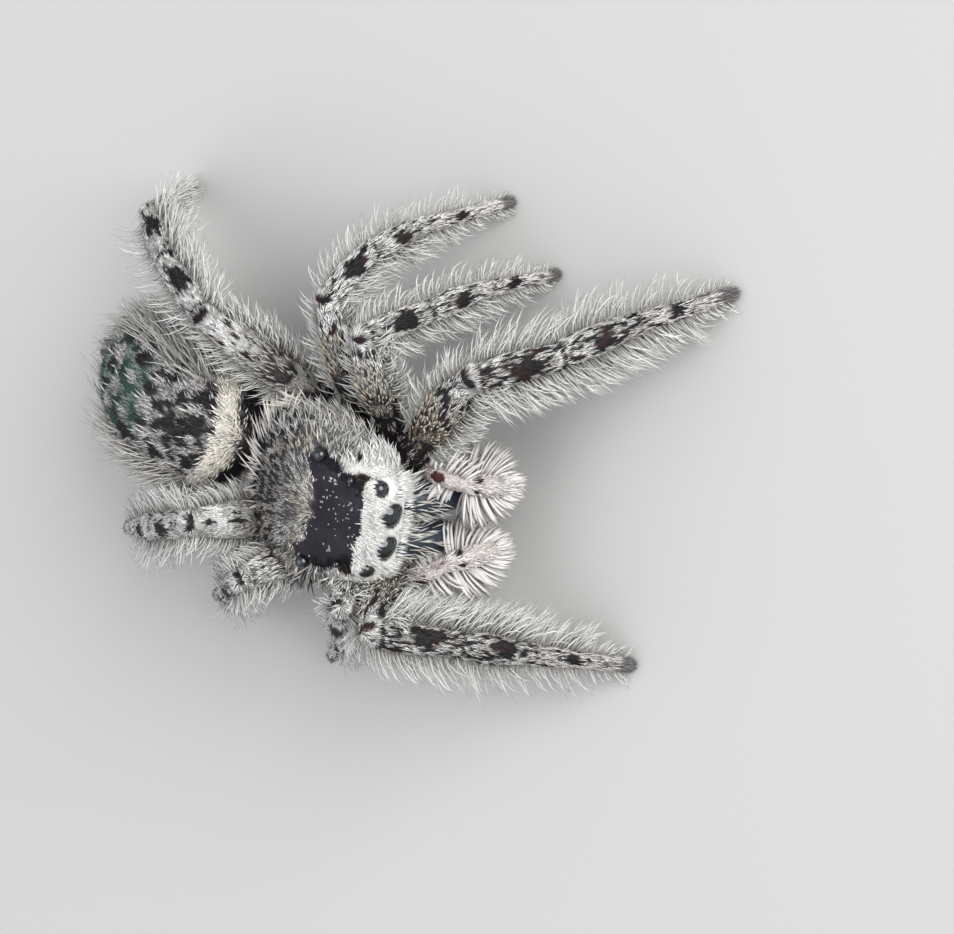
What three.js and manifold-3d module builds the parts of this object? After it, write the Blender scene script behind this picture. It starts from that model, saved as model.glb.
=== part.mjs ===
// A jumping spider standing still, life size. Millimetres, +Z up.
// It faces -Y, its left side is toward +X, and its eight feet stand on the plane z = 0.
// Every solid reaches out to the tips of the hair that covers that part.
import * as THREE from 'three';
import { mergeVertices } from 'three/addons/utils/BufferGeometryUtils.js';
import Module from 'manifold-3d';

const wasm = await Module();
wasm.setup();
const { clamp, degToRad, radToDeg } = THREE.MathUtils;

// ---- Driving dimensions -------------------------------------------------------------------

const GAP = 0.04;           // clear space between neighbouring pieces
const TOLERANCE = 0.016;    // how far a cut surface may be smoothed
const BODY_HEIGHT = 2.38;   // height of the hips' level above the floor
const NOSE_UP = 9.5;        // degrees
const LEFT_SIDE_UP = 14;    // degrees

// Sections of the trunk from the rear forward, in its own axes: distance ahead of the middle
// of the carapace, half width, top and underside, the last two above the hips' level.
const CARAPACE = {
  around: 20, along: 12, squareness: 2.5,
  sections: [
    [-1.80, 0.00, 0.45, 0.45],
    [-1.74, 0.58, 0.78, 0.14],
    [-1.46, 1.14, 1.16, 0.00],
    [-0.98, 1.56, 1.50, -0.02],
    [-0.35, 1.81, 1.72, -0.02],
    [0.30, 1.86, 1.76, -0.02],
    [0.90, 1.80, 1.68, -0.02],
    [1.50, 1.64, 1.53, 0.02],
    [1.98, 1.38, 1.37, 0.10],
    [2.24, 1.08, 1.22, 0.26],
    [2.32, 0.60, 1.04, 0.46],
    [2.34, 0.00, 0.76, 0.76],
  ],
};
const STERNUM = {
  around: 12, along: 8, squareness: 2.4,
  sections: [
    [-1.60, 0.00, -0.35, -0.35],
    [-1.52, 0.32, -0.10, -0.62],
    [-0.90, 0.74, -0.04, -0.80],
    [0.10, 0.86, -0.04, -0.86],
    [1.00, 0.72, -0.04, -0.82],
    [1.55, 0.50, -0.04, -0.74],
    [1.70, 0.00, -0.35, -0.35],
  ],
};
// The abdomen's sections are measured from the waist, along its own axis. Its turns are in
// degrees from the trunk's axes.
const ABDOMEN = {
  around: 20, along: 12, squareness: 2.1,
  waist: [-1.86, 0, 0.36], turnedLeft: 4, raised: 1, rolledBack: 8,
  sections: [
    [-4.76, 0.00, -0.06, -0.06],
    [-4.68, 0.46, 0.34, -0.46],
    [-4.36, 0.94, 0.78, -0.88],
    [-3.78, 1.38, 1.16, -1.20],
    [-3.05, 1.66, 1.42, -1.38],
    [-2.30, 1.74, 1.50, -1.42],
    [-1.50, 1.66, 1.44, -1.30],
    [-0.84, 1.42, 1.28, -1.06],
    [-0.36, 1.00, 0.94, -0.70],
    [-0.12, 0.42, 0.40, -0.32],
    [0.28, 0.28, 0.24, -0.24],
    [0.34, 0.00, 0.00, 0.00],
  ],
};
const SPINNERETS = {
  count: 4, ahead: -4.50, up: -0.12, ring: 0.16, length: 0.50, radii: [0.15, 0.13, 0.09],
};

// Eyes: place ahead, to the side and up, in the trunk's axes, and radius.
const EYES = {
  front_middle: { at: [2.02, 0.36, 0.88], radius: 0.30, detail: 12 },
  front_side: { at: [1.90, 0.90, 1.10], radius: 0.17, detail: 8 },
  rear_middle: { at: [1.39, 0.94, 1.41], radius: 0.075, detail: 6 },
  rear_side: { at: [0.59, 1.21, 1.51], radius: 0.14, detail: 8 },
};

const EYE_RINGS = 0.6;        // rings of an eye's ball for each of its sides

const CHELICERA = { base: [1.96, 0.45, 0.30], tip: [2.24, 0.47, -0.80], radii: [0.40, 0.42, 0.35] };
const FANG = { base: [2.32, 0.61, -1.18], tip: [2.20, 0.19, -1.30], radii: [0.12, 0.10, 0.05] };

// Each palp bends at an elbow and a wrist and ends in a brush that hangs in front of the jaws.
const PALPS = {
  L: {
    root: [1.90, 0.90, -0.42], elbow: [2.47, 1.17, 0.00],
    wrist: [2.64, 0.95, -0.52], tip: [3.30, 0.90, -1.48],
  },
  R: {
    root: [1.90, 0.90, -0.42], elbow: [2.50, 1.18, -0.05],
    wrist: [2.70, 0.86, -0.36], tip: [3.34, 0.42, -1.42],
  },
};
const PALP_RADII = { stalk: [0.26, 0.34, 0.32], brush: [0.36, 0.64, 0.72, 0.52] };

// Leg pairs, front to back: where the hip leaves the sternum and where it ends, segment
// lengths, and outer radii at the joints. The foot is metatarsus and tarsus together.
const LEG_PAIRS = [
  {
    root: [1.15, 0.66, -0.46], hip: [1.60, 1.40, -0.26],
    femur: 2.58, patella: 1.72, tibia: 1.80, foot: 2.10,
    radii: { root: 0.34, hip: 0.42, knee: 0.64, shin: 0.74, ankle: 0.54, toe: 0.28 },
  },
  {
    root: [0.50, 0.74, -0.48], hip: [0.80, 1.55, -0.30],
    femur: 2.32, patella: 1.46, tibia: 1.38, foot: 1.86,
    radii: { root: 0.30, hip: 0.37, knee: 0.54, shin: 0.56, ankle: 0.44, toe: 0.25 },
  },
  {
    root: [-0.25, 0.74, -0.48], hip: [-0.15, 1.58, -0.30],
    femur: 2.52, patella: 1.26, tibia: 1.38, foot: 2.10,
    radii: { root: 0.30, hip: 0.37, knee: 0.54, shin: 0.56, ankle: 0.44, toe: 0.25 },
  },
  {
    root: [-0.95, 0.62, -0.46], hip: [-1.15, 1.38, -0.30],
    femur: 2.96, patella: 1.48, tibia: 1.96, foot: 2.40,
    radii: { root: 0.30, hip: 0.38, knee: 0.60, shin: 0.60, ankle: 0.46, toe: 0.26 },
  },
];
const LEG_SIDES = 10;
const HIP_SIDES = 8;
const FINE_SIDES = 5;         // round the fangs and the spinnerets
const CAP_STEPS = 2;          // rings in a limb's rounded end
const BELLY = 1.1;            // how much thicker a segment is at its middle
const TOE_HEIGHT = 0.15;      // centre of the toe's pad above the floor

// The stance. Headings in degrees from straight ahead, positive outward on either side;
// elevations in degrees above the level. The foot's elevation follows from the floor.
const STANCE = {
  L1: { heading: [57, 36, 47, 40], elevation: [25, -41, -42] },
  L2: { heading: [104, 48, 51, 38], elevation: [38, -51, -55] },
  L3: { heading: [108, 78, 59, 42], elevation: [29, -35, -53] },
  L4: { heading: [154, 154, 157, 150], elevation: [36, -15, -36] },
  R1: { heading: [39, -6, -1, -8], elevation: [60, -46, -55] },
  R2: { heading: [36, 120, 132, 134], elevation: [65, -54, -64] },
  R3: { heading: [126, 142, 143, 152], elevation: [64, -51, -54] },
  R4: { heading: [161, 154, 154, 154], elevation: [70, -37, -47] },
};

// ---- Materials ----------------------------------------------------------------------------

const finish = (color, roughness, metalness = 0) =>
  new THREE.MeshStandardMaterial({ color, roughness, metalness, flatShading: true });

const GREY_HAIR = finish(0xa8a39a, 0.9);
const WHITE_HAIR = finish(0xe6e3dc, 0.9);
const BANDED_HAIR = finish(0x8f8981, 0.9);
const BLACK_EYE = finish(0x0a0a0c, 0.05);
const DARK_HORN = finish(0x1c1a20, 0.35, 0.1);

// ---- Shapes -------------------------------------------------------------------------------

/** A point given as distance ahead, to the left and up. */
const point = ([ahead, left, up], side = 1) => new THREE.Vector3(side * left, -ahead, up);

/** The direction of a heading and an elevation in degrees; side is 1 on the left, -1 right. */
function direction(heading, elevation, side) {
  const turn = degToRad(heading);
  const rise = degToRad(elevation);
  const level = Math.cos(rise);
  return point([level * Math.cos(turn), level * Math.sin(turn), Math.sin(rise)], side);
}

/** A closed geometry as a solid, its shared corners merged. */
function solid(geometry) {
  geometry.deleteAttribute('normal');
  geometry.deleteAttribute('uv');
  const merged = mergeVertices(geometry, 1e-4);
  return new wasm.Manifold(new wasm.Mesh({
    numProp: 3,
    vertProperties: Float32Array.from(merged.getAttribute('position').array),
    triVerts: Uint32Array.from(merged.getIndex().array),
  }));
}

/** A solid as a geometry, for a mesh. */
function geometryOf(body) {
  const { vertProperties, triVerts } = body.getMesh();
  const geometry = new THREE.BufferGeometry();
  geometry.setAttribute('position', new THREE.BufferAttribute(Float32Array.from(vertProperties), 3));
  geometry.setIndex(new THREE.BufferAttribute(Uint32Array.from(triVerts), 1));
  geometry.computeVertexNormals();
  return geometry;
}

/** The value of one column of a table of sections at t, from 0 to 1, on a smooth curve. */
function smoothAlong(sections, column, t) {
  const last = sections.length - 1;
  const i = Math.min(Math.floor(t * last), last - 1);
  const at = (k) => sections[clamp(k, 0, last)][column];
  const [before, from, to, after] = [at(i - 1), at(i), at(i + 1), at(i + 2)];
  const s = t * last - i;
  const rise = (to - before) / 2;
  const fall = (after - from) / 2;
  const square = 3 * (to - from) - 2 * rise - fall;
  const cube = 2 * (from - to) + rise + fall;
  return from + s * (rise + s * (square + s * cube));
}

/** A rounded body through a table of sections, on an axis along Y, grown all round by grow. */
function lofted({ around, along, squareness, sections }, grow = 0) {
  const geometry = new THREE.SphereGeometry(1, around, along);
  const position = geometry.getAttribute('position');
  const p = new THREE.Vector3();
  const rounded = (x) => Math.sign(x) * Math.abs(x) ** (2 / squareness);
  for (let i = 0; i < position.count; i += 1) {
    p.fromBufferAttribute(position, i);
    const t = Math.acos(clamp(p.y, -1, 1)) / Math.PI;
    const [far, half, top, bottom] = [0, 1, 2, 3].map((column) => smoothAlong(sections, column, t));
    const reach = Math.hypot(p.x, p.z);
    const atPole = reach < 1e-6;
    position.setXYZ(
      i,
      atPole ? 0 : rounded(p.x / reach) * (half + grow),
      grow * p.y - far,
      (top + bottom) / 2 + (atPole ? 0 : rounded(p.z / reach) * ((top - bottom) / 2 + grow)),
    );
  }
  return solid(geometry);
}

/** A round limb between two points, with its radii at even steps and ball-shaped ends. */
function limb(from, to, radii, { sides = LEG_SIDES, grow = 0 } = {}) {
  const axis = to.clone().sub(from);
  const length = axis.length();
  const first = radii[0] + grow;
  const last = radii.at(-1) + grow;
  const profile = [];
  for (let i = 0; i <= CAP_STEPS; i += 1) {
    const a = (i / CAP_STEPS) * (Math.PI / 2);
    profile.push(new THREE.Vector2(first * Math.sin(a), -first * Math.cos(a)));
  }
  radii.slice(1, -1).forEach((r, i) => {
    profile.push(new THREE.Vector2(r + grow, (length * (i + 1)) / (radii.length - 1)));
  });
  for (let i = CAP_STEPS; i >= 0; i -= 1) {
    const a = (i / CAP_STEPS) * (Math.PI / 2);
    profile.push(new THREE.Vector2(last * Math.sin(a), length + last * Math.cos(a)));
  }
  const geometry = new THREE.LatheGeometry(profile, sides);
  const upright = new THREE.Vector3(0, 1, 0);
  geometry.applyQuaternion(new THREE.Quaternion().setFromUnitVectors(upright, axis.normalize()));
  geometry.translate(from.x, from.y, from.z);
  return solid(geometry);
}

/** What is left of a solid ahead of a plane through a point. */
const ahead = (body, normal, at) => body.trimByPlane(normal.toArray(), normal.dot(at));

// ---- The pieces, each cut clear of those before it ------------------------------------------

const spider = new THREE.Group();
const trunk = new THREE.Group();
trunk.position.set(0, 0, BODY_HEIGHT);
trunk.rotation.set(degToRad(-NOSE_UP), degToRad(-LEFT_SIDE_UP), 0, 'YXZ');
const tail = new THREE.Group();
tail.position.copy(point(ABDOMEN.waist));
tail.rotation.set(
  degToRad(-ABDOMEN.raised), degToRad(ABDOMEN.rolledBack), degToRad(-ABDOMEN.turnedLeft),
);
trunk.add(tail);
spider.add(trunk);
spider.updateMatrixWorld(true);

const pieces = [];

/** Whether the boxes of two solids overlap. */
const near = (a, b) => [0, 1, 2].every((k) => a.min[k] < b.max[k] && b.min[k] < a.max[k]);

/**
 * Adds a piece. shape(grow) gives its solid in the axes of its group, grown by grow; it is
 * cut by every earlier piece in its way, apart from those that it is fitted to.
 */
function add(group, name, material, shape, fitted = []) {
  const placed = (grow) => shape(grow).transform(group.matrixWorld.toArray());
  let body = placed(0);
  for (const other of pieces) {
    if (!fitted.includes(other.name) && near(other.box, body.boundingBox())) {
      body = body.subtract(other.grown());
    }
  }
  const largest = body.decompose().sort((a, b) => b.volume() - a.volume())[0].simplify(TOLERANCE);
  let grown;
  pieces.push({
    name,
    box: placed(GAP).boundingBox(),
    grown: () => (grown ??= placed(GAP)),
  });
  const geometry = geometryOf(largest);
  geometry.applyMatrix4(group.matrixWorld.clone().invert());
  const mesh = new THREE.Mesh(geometry, material);
  mesh.name = name;
  group.add(mesh);
}

const SIDES = [['L', 1], ['R', -1]];

function addEyes() {
  for (const [place, { at, radius, detail }] of Object.entries(EYES)) {
    for (const [letter, side] of SIDES) {
      const centre = point(at, side);
      add(trunk, `eye_${place}_${letter}`, BLACK_EYE, (grow) => {
        const ball = new THREE.SphereGeometry(radius + grow, detail, Math.round(detail * EYE_RINGS));
        ball.translate(centre.x, centre.y, centre.z);
        return solid(ball);
      });
    }
  }
}

function addTrunk() {
  add(trunk, 'carapace', GREY_HAIR, (grow) => lofted(CARAPACE, grow));
  add(trunk, 'sternum', DARK_HORN, (grow) => lofted(STERNUM, grow));
}

function addJaws() {
  for (const [letter, side] of SIDES) {
    add(trunk, `chelicera_${letter}`, DARK_HORN, (grow) =>
      limb(point(CHELICERA.base, side), point(CHELICERA.tip, side), CHELICERA.radii, { grow }));
  }
  for (const [letter, side] of SIDES) {
    add(trunk, `fang_${letter}`, DARK_HORN, (grow) =>
      limb(point(FANG.base, side), point(FANG.tip, side), FANG.radii, { sides: FINE_SIDES, grow }));
  }
}

/**
 * A chain of limbs from a hip to the floor, on which the last one is cut flat. Neighbours meet
 * on the plane that halves their bend.
 */
function addChain(group, names, joints, radii, material) {
  const gap = GAP / 2;
  const steps = names.map((_, i) => joints[i + 1].clone().sub(joints[i]).normalize());
  names.forEach((name, i) => {
    const shape = (grow) => {
      const sides = i > 0 ? LEG_SIDES : HIP_SIDES;
      let body = limb(joints[i], joints[i + 1], radii[i], { sides, grow });
      if (i > 0) {
        const cut = steps[i - 1].clone().add(steps[i]).normalize();
        body = ahead(body, cut, joints[i].clone().addScaledVector(cut, gap - grow));
      }
      if (i < names.length - 1) {
        const cut = steps[i].clone().add(steps[i + 1]).normalize().negate();
        body = ahead(body, cut, joints[i + 1].clone().addScaledVector(cut, gap - grow));
      } else {
        body = ahead(body, new THREE.Vector3(0, 0, 1), new THREE.Vector3());
      }
      return body;
    };
    add(group, name, material, shape, [names[i - 1], names[i + 1]]);
  });
}

/** The joints of a leg from its hip to its toe, which comes down to the floor. */
function legJoints(hip, pair, { heading, elevation }, side) {
  const joints = [hip];
  ['femur', 'patella', 'tibia'].forEach((segment, i) => {
    const onward = direction(heading[i], elevation[i], side);
    joints.push(joints[i].clone().addScaledVector(onward, pair[segment]));
  });
  const ankle = joints.at(-1);
  const dive = -radToDeg(Math.asin((ankle.z - TOE_HEIGHT) / pair.foot));
  joints.push(ankle.clone().addScaledVector(direction(heading[3], dive, side), pair.foot));
  return joints;
}

function addLegs() {
  const bulged = (a, b) => [a, (BELLY * (a + b)) / 2, b];
  LEG_PAIRS.forEach((pair, i) => {
    for (const [letter, side] of SIDES) {
      const root = point(pair.root, side).applyMatrix4(trunk.matrixWorld);
      const hip = point(pair.hip, side).applyMatrix4(trunk.matrixWorld);
      const { radii } = pair;
      const leg = `leg_${letter}${i + 1}`;
      addChain(
        spider,
        ['coxa', 'femur', 'patella', 'tibia', 'foot'].map((segment) => `${leg}_${segment}`),
        [root, ...legJoints(hip, pair, STANCE[`${letter}${i + 1}`], side)],
        [
          [radii.root, radii.hip, radii.hip],
          bulged(radii.hip, radii.knee),
          bulged(radii.knee, radii.shin),
          bulged(radii.shin, radii.ankle),
          bulged(radii.ankle, radii.toe),
        ],
        BANDED_HAIR,
      );
    }
  });
}

function addPalps() {
  for (const [letter, side] of SIDES) {
    const joints = ['root', 'elbow', 'wrist', 'tip'];
    const [root, elbow, wrist, tip] = joints.map((joint) => point(PALPS[letter][joint], side));
    const { stalk, brush } = PALP_RADII;
    const names = [`palp_${letter}_stalk`, `palp_${letter}_brush`];
    const down = tip.clone().sub(wrist).normalize();
    const meeting = wrist.clone().sub(elbow).normalize().add(down).normalize();
    add(trunk, names[0], WHITE_HAIR, (grow) => {
      const upper = limb(root, elbow, stalk, { sides: HIP_SIDES, grow });
      const lower = limb(elbow, wrist, stalk.toReversed(), { sides: HIP_SIDES, grow });
      const end = wrist.clone().addScaledVector(meeting, grow - GAP / 2);
      return ahead(upper.add(lower), meeting.clone().negate(), end);
    });
    add(trunk, names[1], WHITE_HAIR, (grow) => {
      const start = wrist.clone().addScaledVector(meeting, GAP / 2 - grow);
      return ahead(limb(wrist, tip, brush, { grow }), meeting, start);
    }, [names[0]]);
  }
}

function addAbdomen() {
  add(tail, 'abdomen', GREY_HAIR, (grow) => lofted(ABDOMEN, grow));
  const { count, ahead: back, up, ring, length, radii } = SPINNERETS;
  add(tail, 'spinnerets', DARK_HORN, (grow) => {
    const cone = (left, high, reach) => {
      const root = point([back, left, high]);
      const tip = point([back - reach, left, high]);
      return limb(root, tip, radii, { sides: FINE_SIDES, grow });
    };
    let whole = cone(0, up, length / 2);
    for (let i = 0; i < count; i += 1) {
      const turn = (2 * Math.PI * (i + 0.5)) / count;
      whole = whole.add(cone(ring * Math.cos(turn), up + ring * Math.sin(turn), length));
    }
    return whole;
  });
}

addEyes();
addTrunk();
addJaws();
addLegs();
addPalps();
addAbdomen();

// The origin is the middle of the footprint, on the floor.
const box = new THREE.Box3().setFromObject(spider);
const centre = box.getCenter(new THREE.Vector3());
spider.position.set(-centre.x, -centre.y, 0);

export default spider;
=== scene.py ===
"""A life-size jumping spider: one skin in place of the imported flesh, a coat of hairs, eyes and jaws.

Lengths are in mm until a mesh is made, and metres in Blender. The spider faces -Y and its left is +X.
A place on the body is (ahead, left, up) in the axes of the trunk or of the tail. On a form, t runs
from 0 at its start to 1 at its end, and an angle of 0 is its top.
"""
import itertools
import math
from types import SimpleNamespace

import bpy
import numpy as np
from mathutils import Matrix, Vector


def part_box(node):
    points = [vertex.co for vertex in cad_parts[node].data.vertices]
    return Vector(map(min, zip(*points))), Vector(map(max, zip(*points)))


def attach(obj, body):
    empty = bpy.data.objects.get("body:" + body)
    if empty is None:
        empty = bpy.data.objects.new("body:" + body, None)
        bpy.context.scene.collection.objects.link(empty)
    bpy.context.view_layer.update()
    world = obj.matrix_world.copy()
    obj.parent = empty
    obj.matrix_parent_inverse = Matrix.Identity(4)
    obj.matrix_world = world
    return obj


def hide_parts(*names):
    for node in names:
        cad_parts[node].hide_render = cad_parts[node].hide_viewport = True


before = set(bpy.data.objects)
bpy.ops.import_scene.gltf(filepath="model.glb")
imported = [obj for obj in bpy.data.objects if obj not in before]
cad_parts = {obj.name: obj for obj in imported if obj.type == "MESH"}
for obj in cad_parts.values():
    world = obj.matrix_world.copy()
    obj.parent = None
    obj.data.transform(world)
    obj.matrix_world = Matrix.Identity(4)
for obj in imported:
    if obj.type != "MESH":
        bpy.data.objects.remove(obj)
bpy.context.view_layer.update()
MM = 0.001

# ---- The same driving dimensions as the solids ----------------------------------------------

# Eyes: distance ahead, to the side and up in the trunk's axes, and radius.
EYES = {
    "front_middle": ((2.02, 0.36, 0.88), 0.30),
    "front_side": ((1.90, 0.90, 1.10), 0.17),
    "rear_middle": ((1.39, 0.94, 1.41), 0.075),
    "rear_side": ((0.59, 1.21, 1.51), 0.14),
}
SIDES = {"L": 1, "R": -1}

# Sections of the trunk from the rear forward: distance ahead, half width, top and underside.
CARAPACE = [
    [-1.80, 0.00, 0.45, 0.45],
    [-1.74, 0.58, 0.78, 0.14],
    [-1.46, 1.14, 1.16, 0.00],
    [-0.98, 1.56, 1.50, -0.02],
    [-0.35, 1.81, 1.72, -0.02],
    [0.30, 1.86, 1.76, -0.02],
    [0.90, 1.80, 1.68, -0.02],
    [1.50, 1.64, 1.53, 0.02],
    [1.98, 1.38, 1.37, 0.10],
    [2.24, 1.08, 1.22, 0.26],
    [2.32, 0.60, 1.04, 0.46],
    [2.34, 0.00, 0.76, 0.76],
]
STERNUM = [
    [-1.60, 0.00, -0.35, -0.35],
    [-1.52, 0.32, -0.10, -0.62],
    [-0.90, 0.74, -0.04, -0.80],
    [0.10, 0.86, -0.04, -0.86],
    [1.00, 0.72, -0.04, -0.82],
    [1.55, 0.50, -0.04, -0.74],
    [1.70, 0.00, -0.35, -0.35],
]
ABDOMEN = [
    [-4.76, 0.00, -0.06, -0.06],
    [-4.68, 0.46, 0.34, -0.46],
    [-4.36, 0.94, 0.78, -0.88],
    [-3.78, 1.38, 1.16, -1.20],
    [-3.05, 1.66, 1.42, -1.38],
    [-2.30, 1.74, 1.50, -1.42],
    [-1.50, 1.66, 1.44, -1.30],
    [-0.84, 1.42, 1.28, -1.06],
    [-0.36, 1.00, 0.94, -0.70],
    [-0.12, 0.42, 0.40, -0.32],
    [0.28, 0.28, 0.24, -0.24],
    [0.34, 0.00, 0.00, 0.00],
]
WAIST = (-1.86, 0.0, 0.36)
TAIL_LEFT, TAIL_UP, TAIL_ROLL = 4.0, 1.0, 8.0   # degrees
SQUARENESS = {"carapace": 2.5, "sternum": 2.4, "abdomen": 2.1}   # 2 is round
COAT_DEPTH = {"carapace": 0.12, "sternum": 0.06, "abdomen": 0.16}   # from the solid in to the skin
LEAST_SIZE = 0.01   # of a section, at either end of a body

# Leg pairs: where the hip leaves the sternum and where it ends, and segment lengths.
LEG_PAIRS = [
    {"root": (1.15, 0.66, -0.46), "hip": (1.60, 1.40, -0.26), "lengths": (2.58, 1.72, 1.80, 2.10)},
    {"root": (0.50, 0.74, -0.48), "hip": (0.80, 1.55, -0.30), "lengths": (2.32, 1.46, 1.38, 1.86)},
    {"root": (-0.25, 0.74, -0.48), "hip": (-0.15, 1.58, -0.30), "lengths": (2.52, 1.26, 1.38, 2.10)},
    {"root": (-0.95, 0.62, -0.46), "hip": (-1.15, 1.38, -0.30), "lengths": (2.96, 1.48, 1.96, 2.40)},
]
# The stance: headings from straight ahead, positive outward, and elevations, in degrees.
STANCE = {
    "L1": ((57, 36, 47, 40), (25, -41, -42)),
    "L2": ((104, 48, 51, 38), (38, -51, -55)),
    "L3": ((108, 78, 59, 42), (29, -35, -53)),
    "L4": ((154, 154, 157, 150), (36, -15, -36)),
    "R1": ((39, -6, -1, -8), (60, -46, -55)),
    "R2": ((36, 120, 132, 134), (65, -54, -64)),
    "R3": ((126, 142, 143, 152), (64, -51, -54)),
    "R4": ((161, 154, 154, 154), (70, -37, -47)),
}
TOE_HEIGHT = 0.15
ANKLE_SHARE = 0.56   # of the foot's length, the first part is the metatarsus
PALPS = {
    "L": ((1.90, 0.90, -0.42), (2.47, 1.17, 0.00), (2.64, 0.95, -0.52), (3.30, 0.90, -1.48)),
    "R": ((1.90, 0.90, -0.42), (2.50, 1.18, -0.05), (2.70, 0.86, -0.36), (3.34, 0.42, -1.42)),
}
CHELICERA = {"base": (1.96, 0.45, 0.30), "tip": (2.24, 0.47, -0.80), "radii": (0.36, 0.39, 0.38, 0.33)}
FANG = {"base": (2.32, 0.61, -1.18), "tip": (2.20, 0.19, -1.30), "radii": (0.11, 0.10, 0.07, 0.03)}
# Sockets of the front eyes: the way each faces, and how far before the eye's middle they end.
SOCKETS = {"front_middle": ((1.0, 0.06, -0.24), 0.04), "front_side": ((0.90, 0.42, -0.25), 0.02)}
SOCKET_RADII = (0.55, 1.05, 1.10, 0.40)   # in radii of the eye
SOCKET_LENGTH = 0.36
EYE_OPENS = {"front_middle": 0.14, "front_side": 0.12}   # how far before the eye's middle its brow ends
# The clear space before a front eye: its length and height, and its half width and drop in radii.
VIEW = {"length": 0.7, "up": 1.2, "wide": 1.2, "down": 0.8, "slant": 0.25}
PALP_RADII = {
    "femur": (0.15, 0.17, 0.15),
    "tibia": (0.15, 0.18, 0.17),
    "tarsus": (0.16, 0.22, 0.22, 0.15),
}
PALP_TIP_COAT = 0.12   # how far the hair stands out from the tip
# Four spinnerets in a ring round a short middle one: the places, and lengths as shares.
SPINNERETS = {"ahead": -4.50, "up": -0.12, "ring": 0.16, "length": 0.50, "radii": (0.11, 0.10, 0.06)}
SPINNERET_SHARES = (0.8, 0.8, 0.8, 0.8, 0.4)
SPINNERET_SPLAY = 1.3

# Radii of the skin under the coat, at even steps along each segment of the first legs.
BARE = {
    "coxa": (0.32, 0.39, 0.36),
    "femur": (0.25, 0.38, 0.42, 0.37, 0.27),
    "patella": (0.26, 0.31, 0.31, 0.27),
    "tibia": (0.26, 0.31, 0.29, 0.23),
    "metatarsus": (0.20, 0.20, 0.18, 0.16),
    "tarsus": (0.15, 0.16, 0.13),
}
PAIR_GIRTH = (1.0, 0.84, 0.84, 0.92)

# ---- Colours, as linear light ----------------------------------------------------------------

WHITE = np.array([0.86, 0.84, 0.80])
PALE = np.array([0.62, 0.59, 0.54])
CREAM = np.array([0.66, 0.56, 0.42])
GREY = np.array([0.30, 0.285, 0.27])
SOOT = np.array([0.055, 0.05, 0.052])
BLACK = np.array([0.012, 0.011, 0.013])
PURPLE = np.array([0.050, 0.043, 0.054])
RED_BROWN = np.array([0.085, 0.022, 0.016])
TEAL = np.array([0.07, 0.17, 0.13])
PINK = np.array([0.68, 0.59, 0.565])
BROWN = np.array([0.20, 0.125, 0.075])
TAN = CREAM * 0.7 + PALE * 0.3

EYE_COLOURS = (0.002, 0.002, 0.003, 1), (0.006, 0.010, 0.012, 1)
HORN_COLOURS = (0.006, 0.008, 0.016, 1), (0.020, 0.030, 0.045, 1)

# ---- Small sums --------------------------------------------------------------------------------


def unit(v):
    """Vectors made one long."""
    return v / np.maximum(np.linalg.norm(v, axis=-1, keepdims=True), 1e-12)


def dot(a, b):
    return np.sum(a * b, axis=-1)


def ease(low, high, x):
    """0 below low, 1 above high, and smooth between."""
    t = np.clip((np.asarray(x, float) - low) / (high - low), 0, 1)
    return t * t * (3 - 2 * t)


def hump(middle, half, x):
    """1 at the middle, falling to 0 at half to either side."""
    return 1 - ease(0, half, np.abs(np.asarray(x, float) - middle))


def mix(a, b, share):
    """Colours between a and b."""
    share = np.asarray(share, float)[..., None]
    return a * (1 - share) + b * share


def patches(points, size, seed=0):
    """Smooth noise from 0 to 1 at points, with patches of about a size."""
    p = np.asarray(points, float) / size
    cell = np.floor(p).astype(np.int64)
    f = p - cell
    f = f * f * (3 - 2 * f)
    total = np.zeros(len(p))
    for corner in itertools.product((0, 1), repeat=3):
        c = cell + corner
        key = (c[:, 0] * 73856093) ^ (c[:, 1] * 19349663) ^ (c[:, 2] * 83492791) ^ (seed * 2971215073)
        key = (key ^ (key >> 13)) * 1274126177 & 0xFFFFFFFF
        value = ((key ^ (key >> 16)) & 0xFFFF) / 65535
        total += value * np.prod(np.where(corner, f, 1 - f), axis=1)
    return total


def smooth_along(table, column, t):
    """One column of a table of sections at t, from 0 to 1, on a smooth curve."""
    values = np.asarray(table, float)[:, column]
    last = len(values) - 1
    i = np.clip(np.floor(t * last).astype(int), 0, last - 1)
    before, start, end, after = (values[np.clip(i + k, 0, last)] for k in (-1, 0, 1, 2))
    s = t * last - i
    rise, fall = (end - before) / 2, (after - start) / 2
    bend = 3 * (end - start) - 2 * rise - fall
    return start + s * (rise + s * (bend + s * (2 * (start - end) + rise + fall)))


# ---- Axes and forms ----------------------------------------------------------------------------


class Axes:
    """Axes on the body: places in them are (ahead, left, up)."""

    def __init__(self, turn, origin):
        self.turn, self.origin = turn, np.asarray(origin, float)

    def vector(self, v):
        v = np.asarray(v, float)
        return np.stack([v[..., 1], -v[..., 0], v[..., 2]], -1) @ self.turn.T

    def out(self, place):
        return self.vector(place) + self.origin

    def into(self, points):
        q = (points - self.origin) @ self.turn
        return np.stack([-q[..., 1], q[..., 0], q[..., 2]], -1)


def turned(axis, degrees):
    return np.array(Matrix.Rotation(math.radians(degrees), 3, axis))


def trunk_axes():
    """The trunk's axes, from where its eight eyes are in the frame."""
    here, there = [], []
    for place, ((ahead, left, up), _) in EYES.items():
        for letter, side in SIDES.items():
            low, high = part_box(f"eye_{place}_{letter}")
            here.append([side * left, -ahead, up])
            there.append((low + high) / 2 / MM)
    here, there = np.array(here), np.array(there)
    u, _, v = np.linalg.svd((here - here.mean(0)).T @ (there - there.mean(0)))
    turn = (u @ v).T
    return Axes(turn, there.mean(0) - turn @ here.mean(0))


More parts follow.
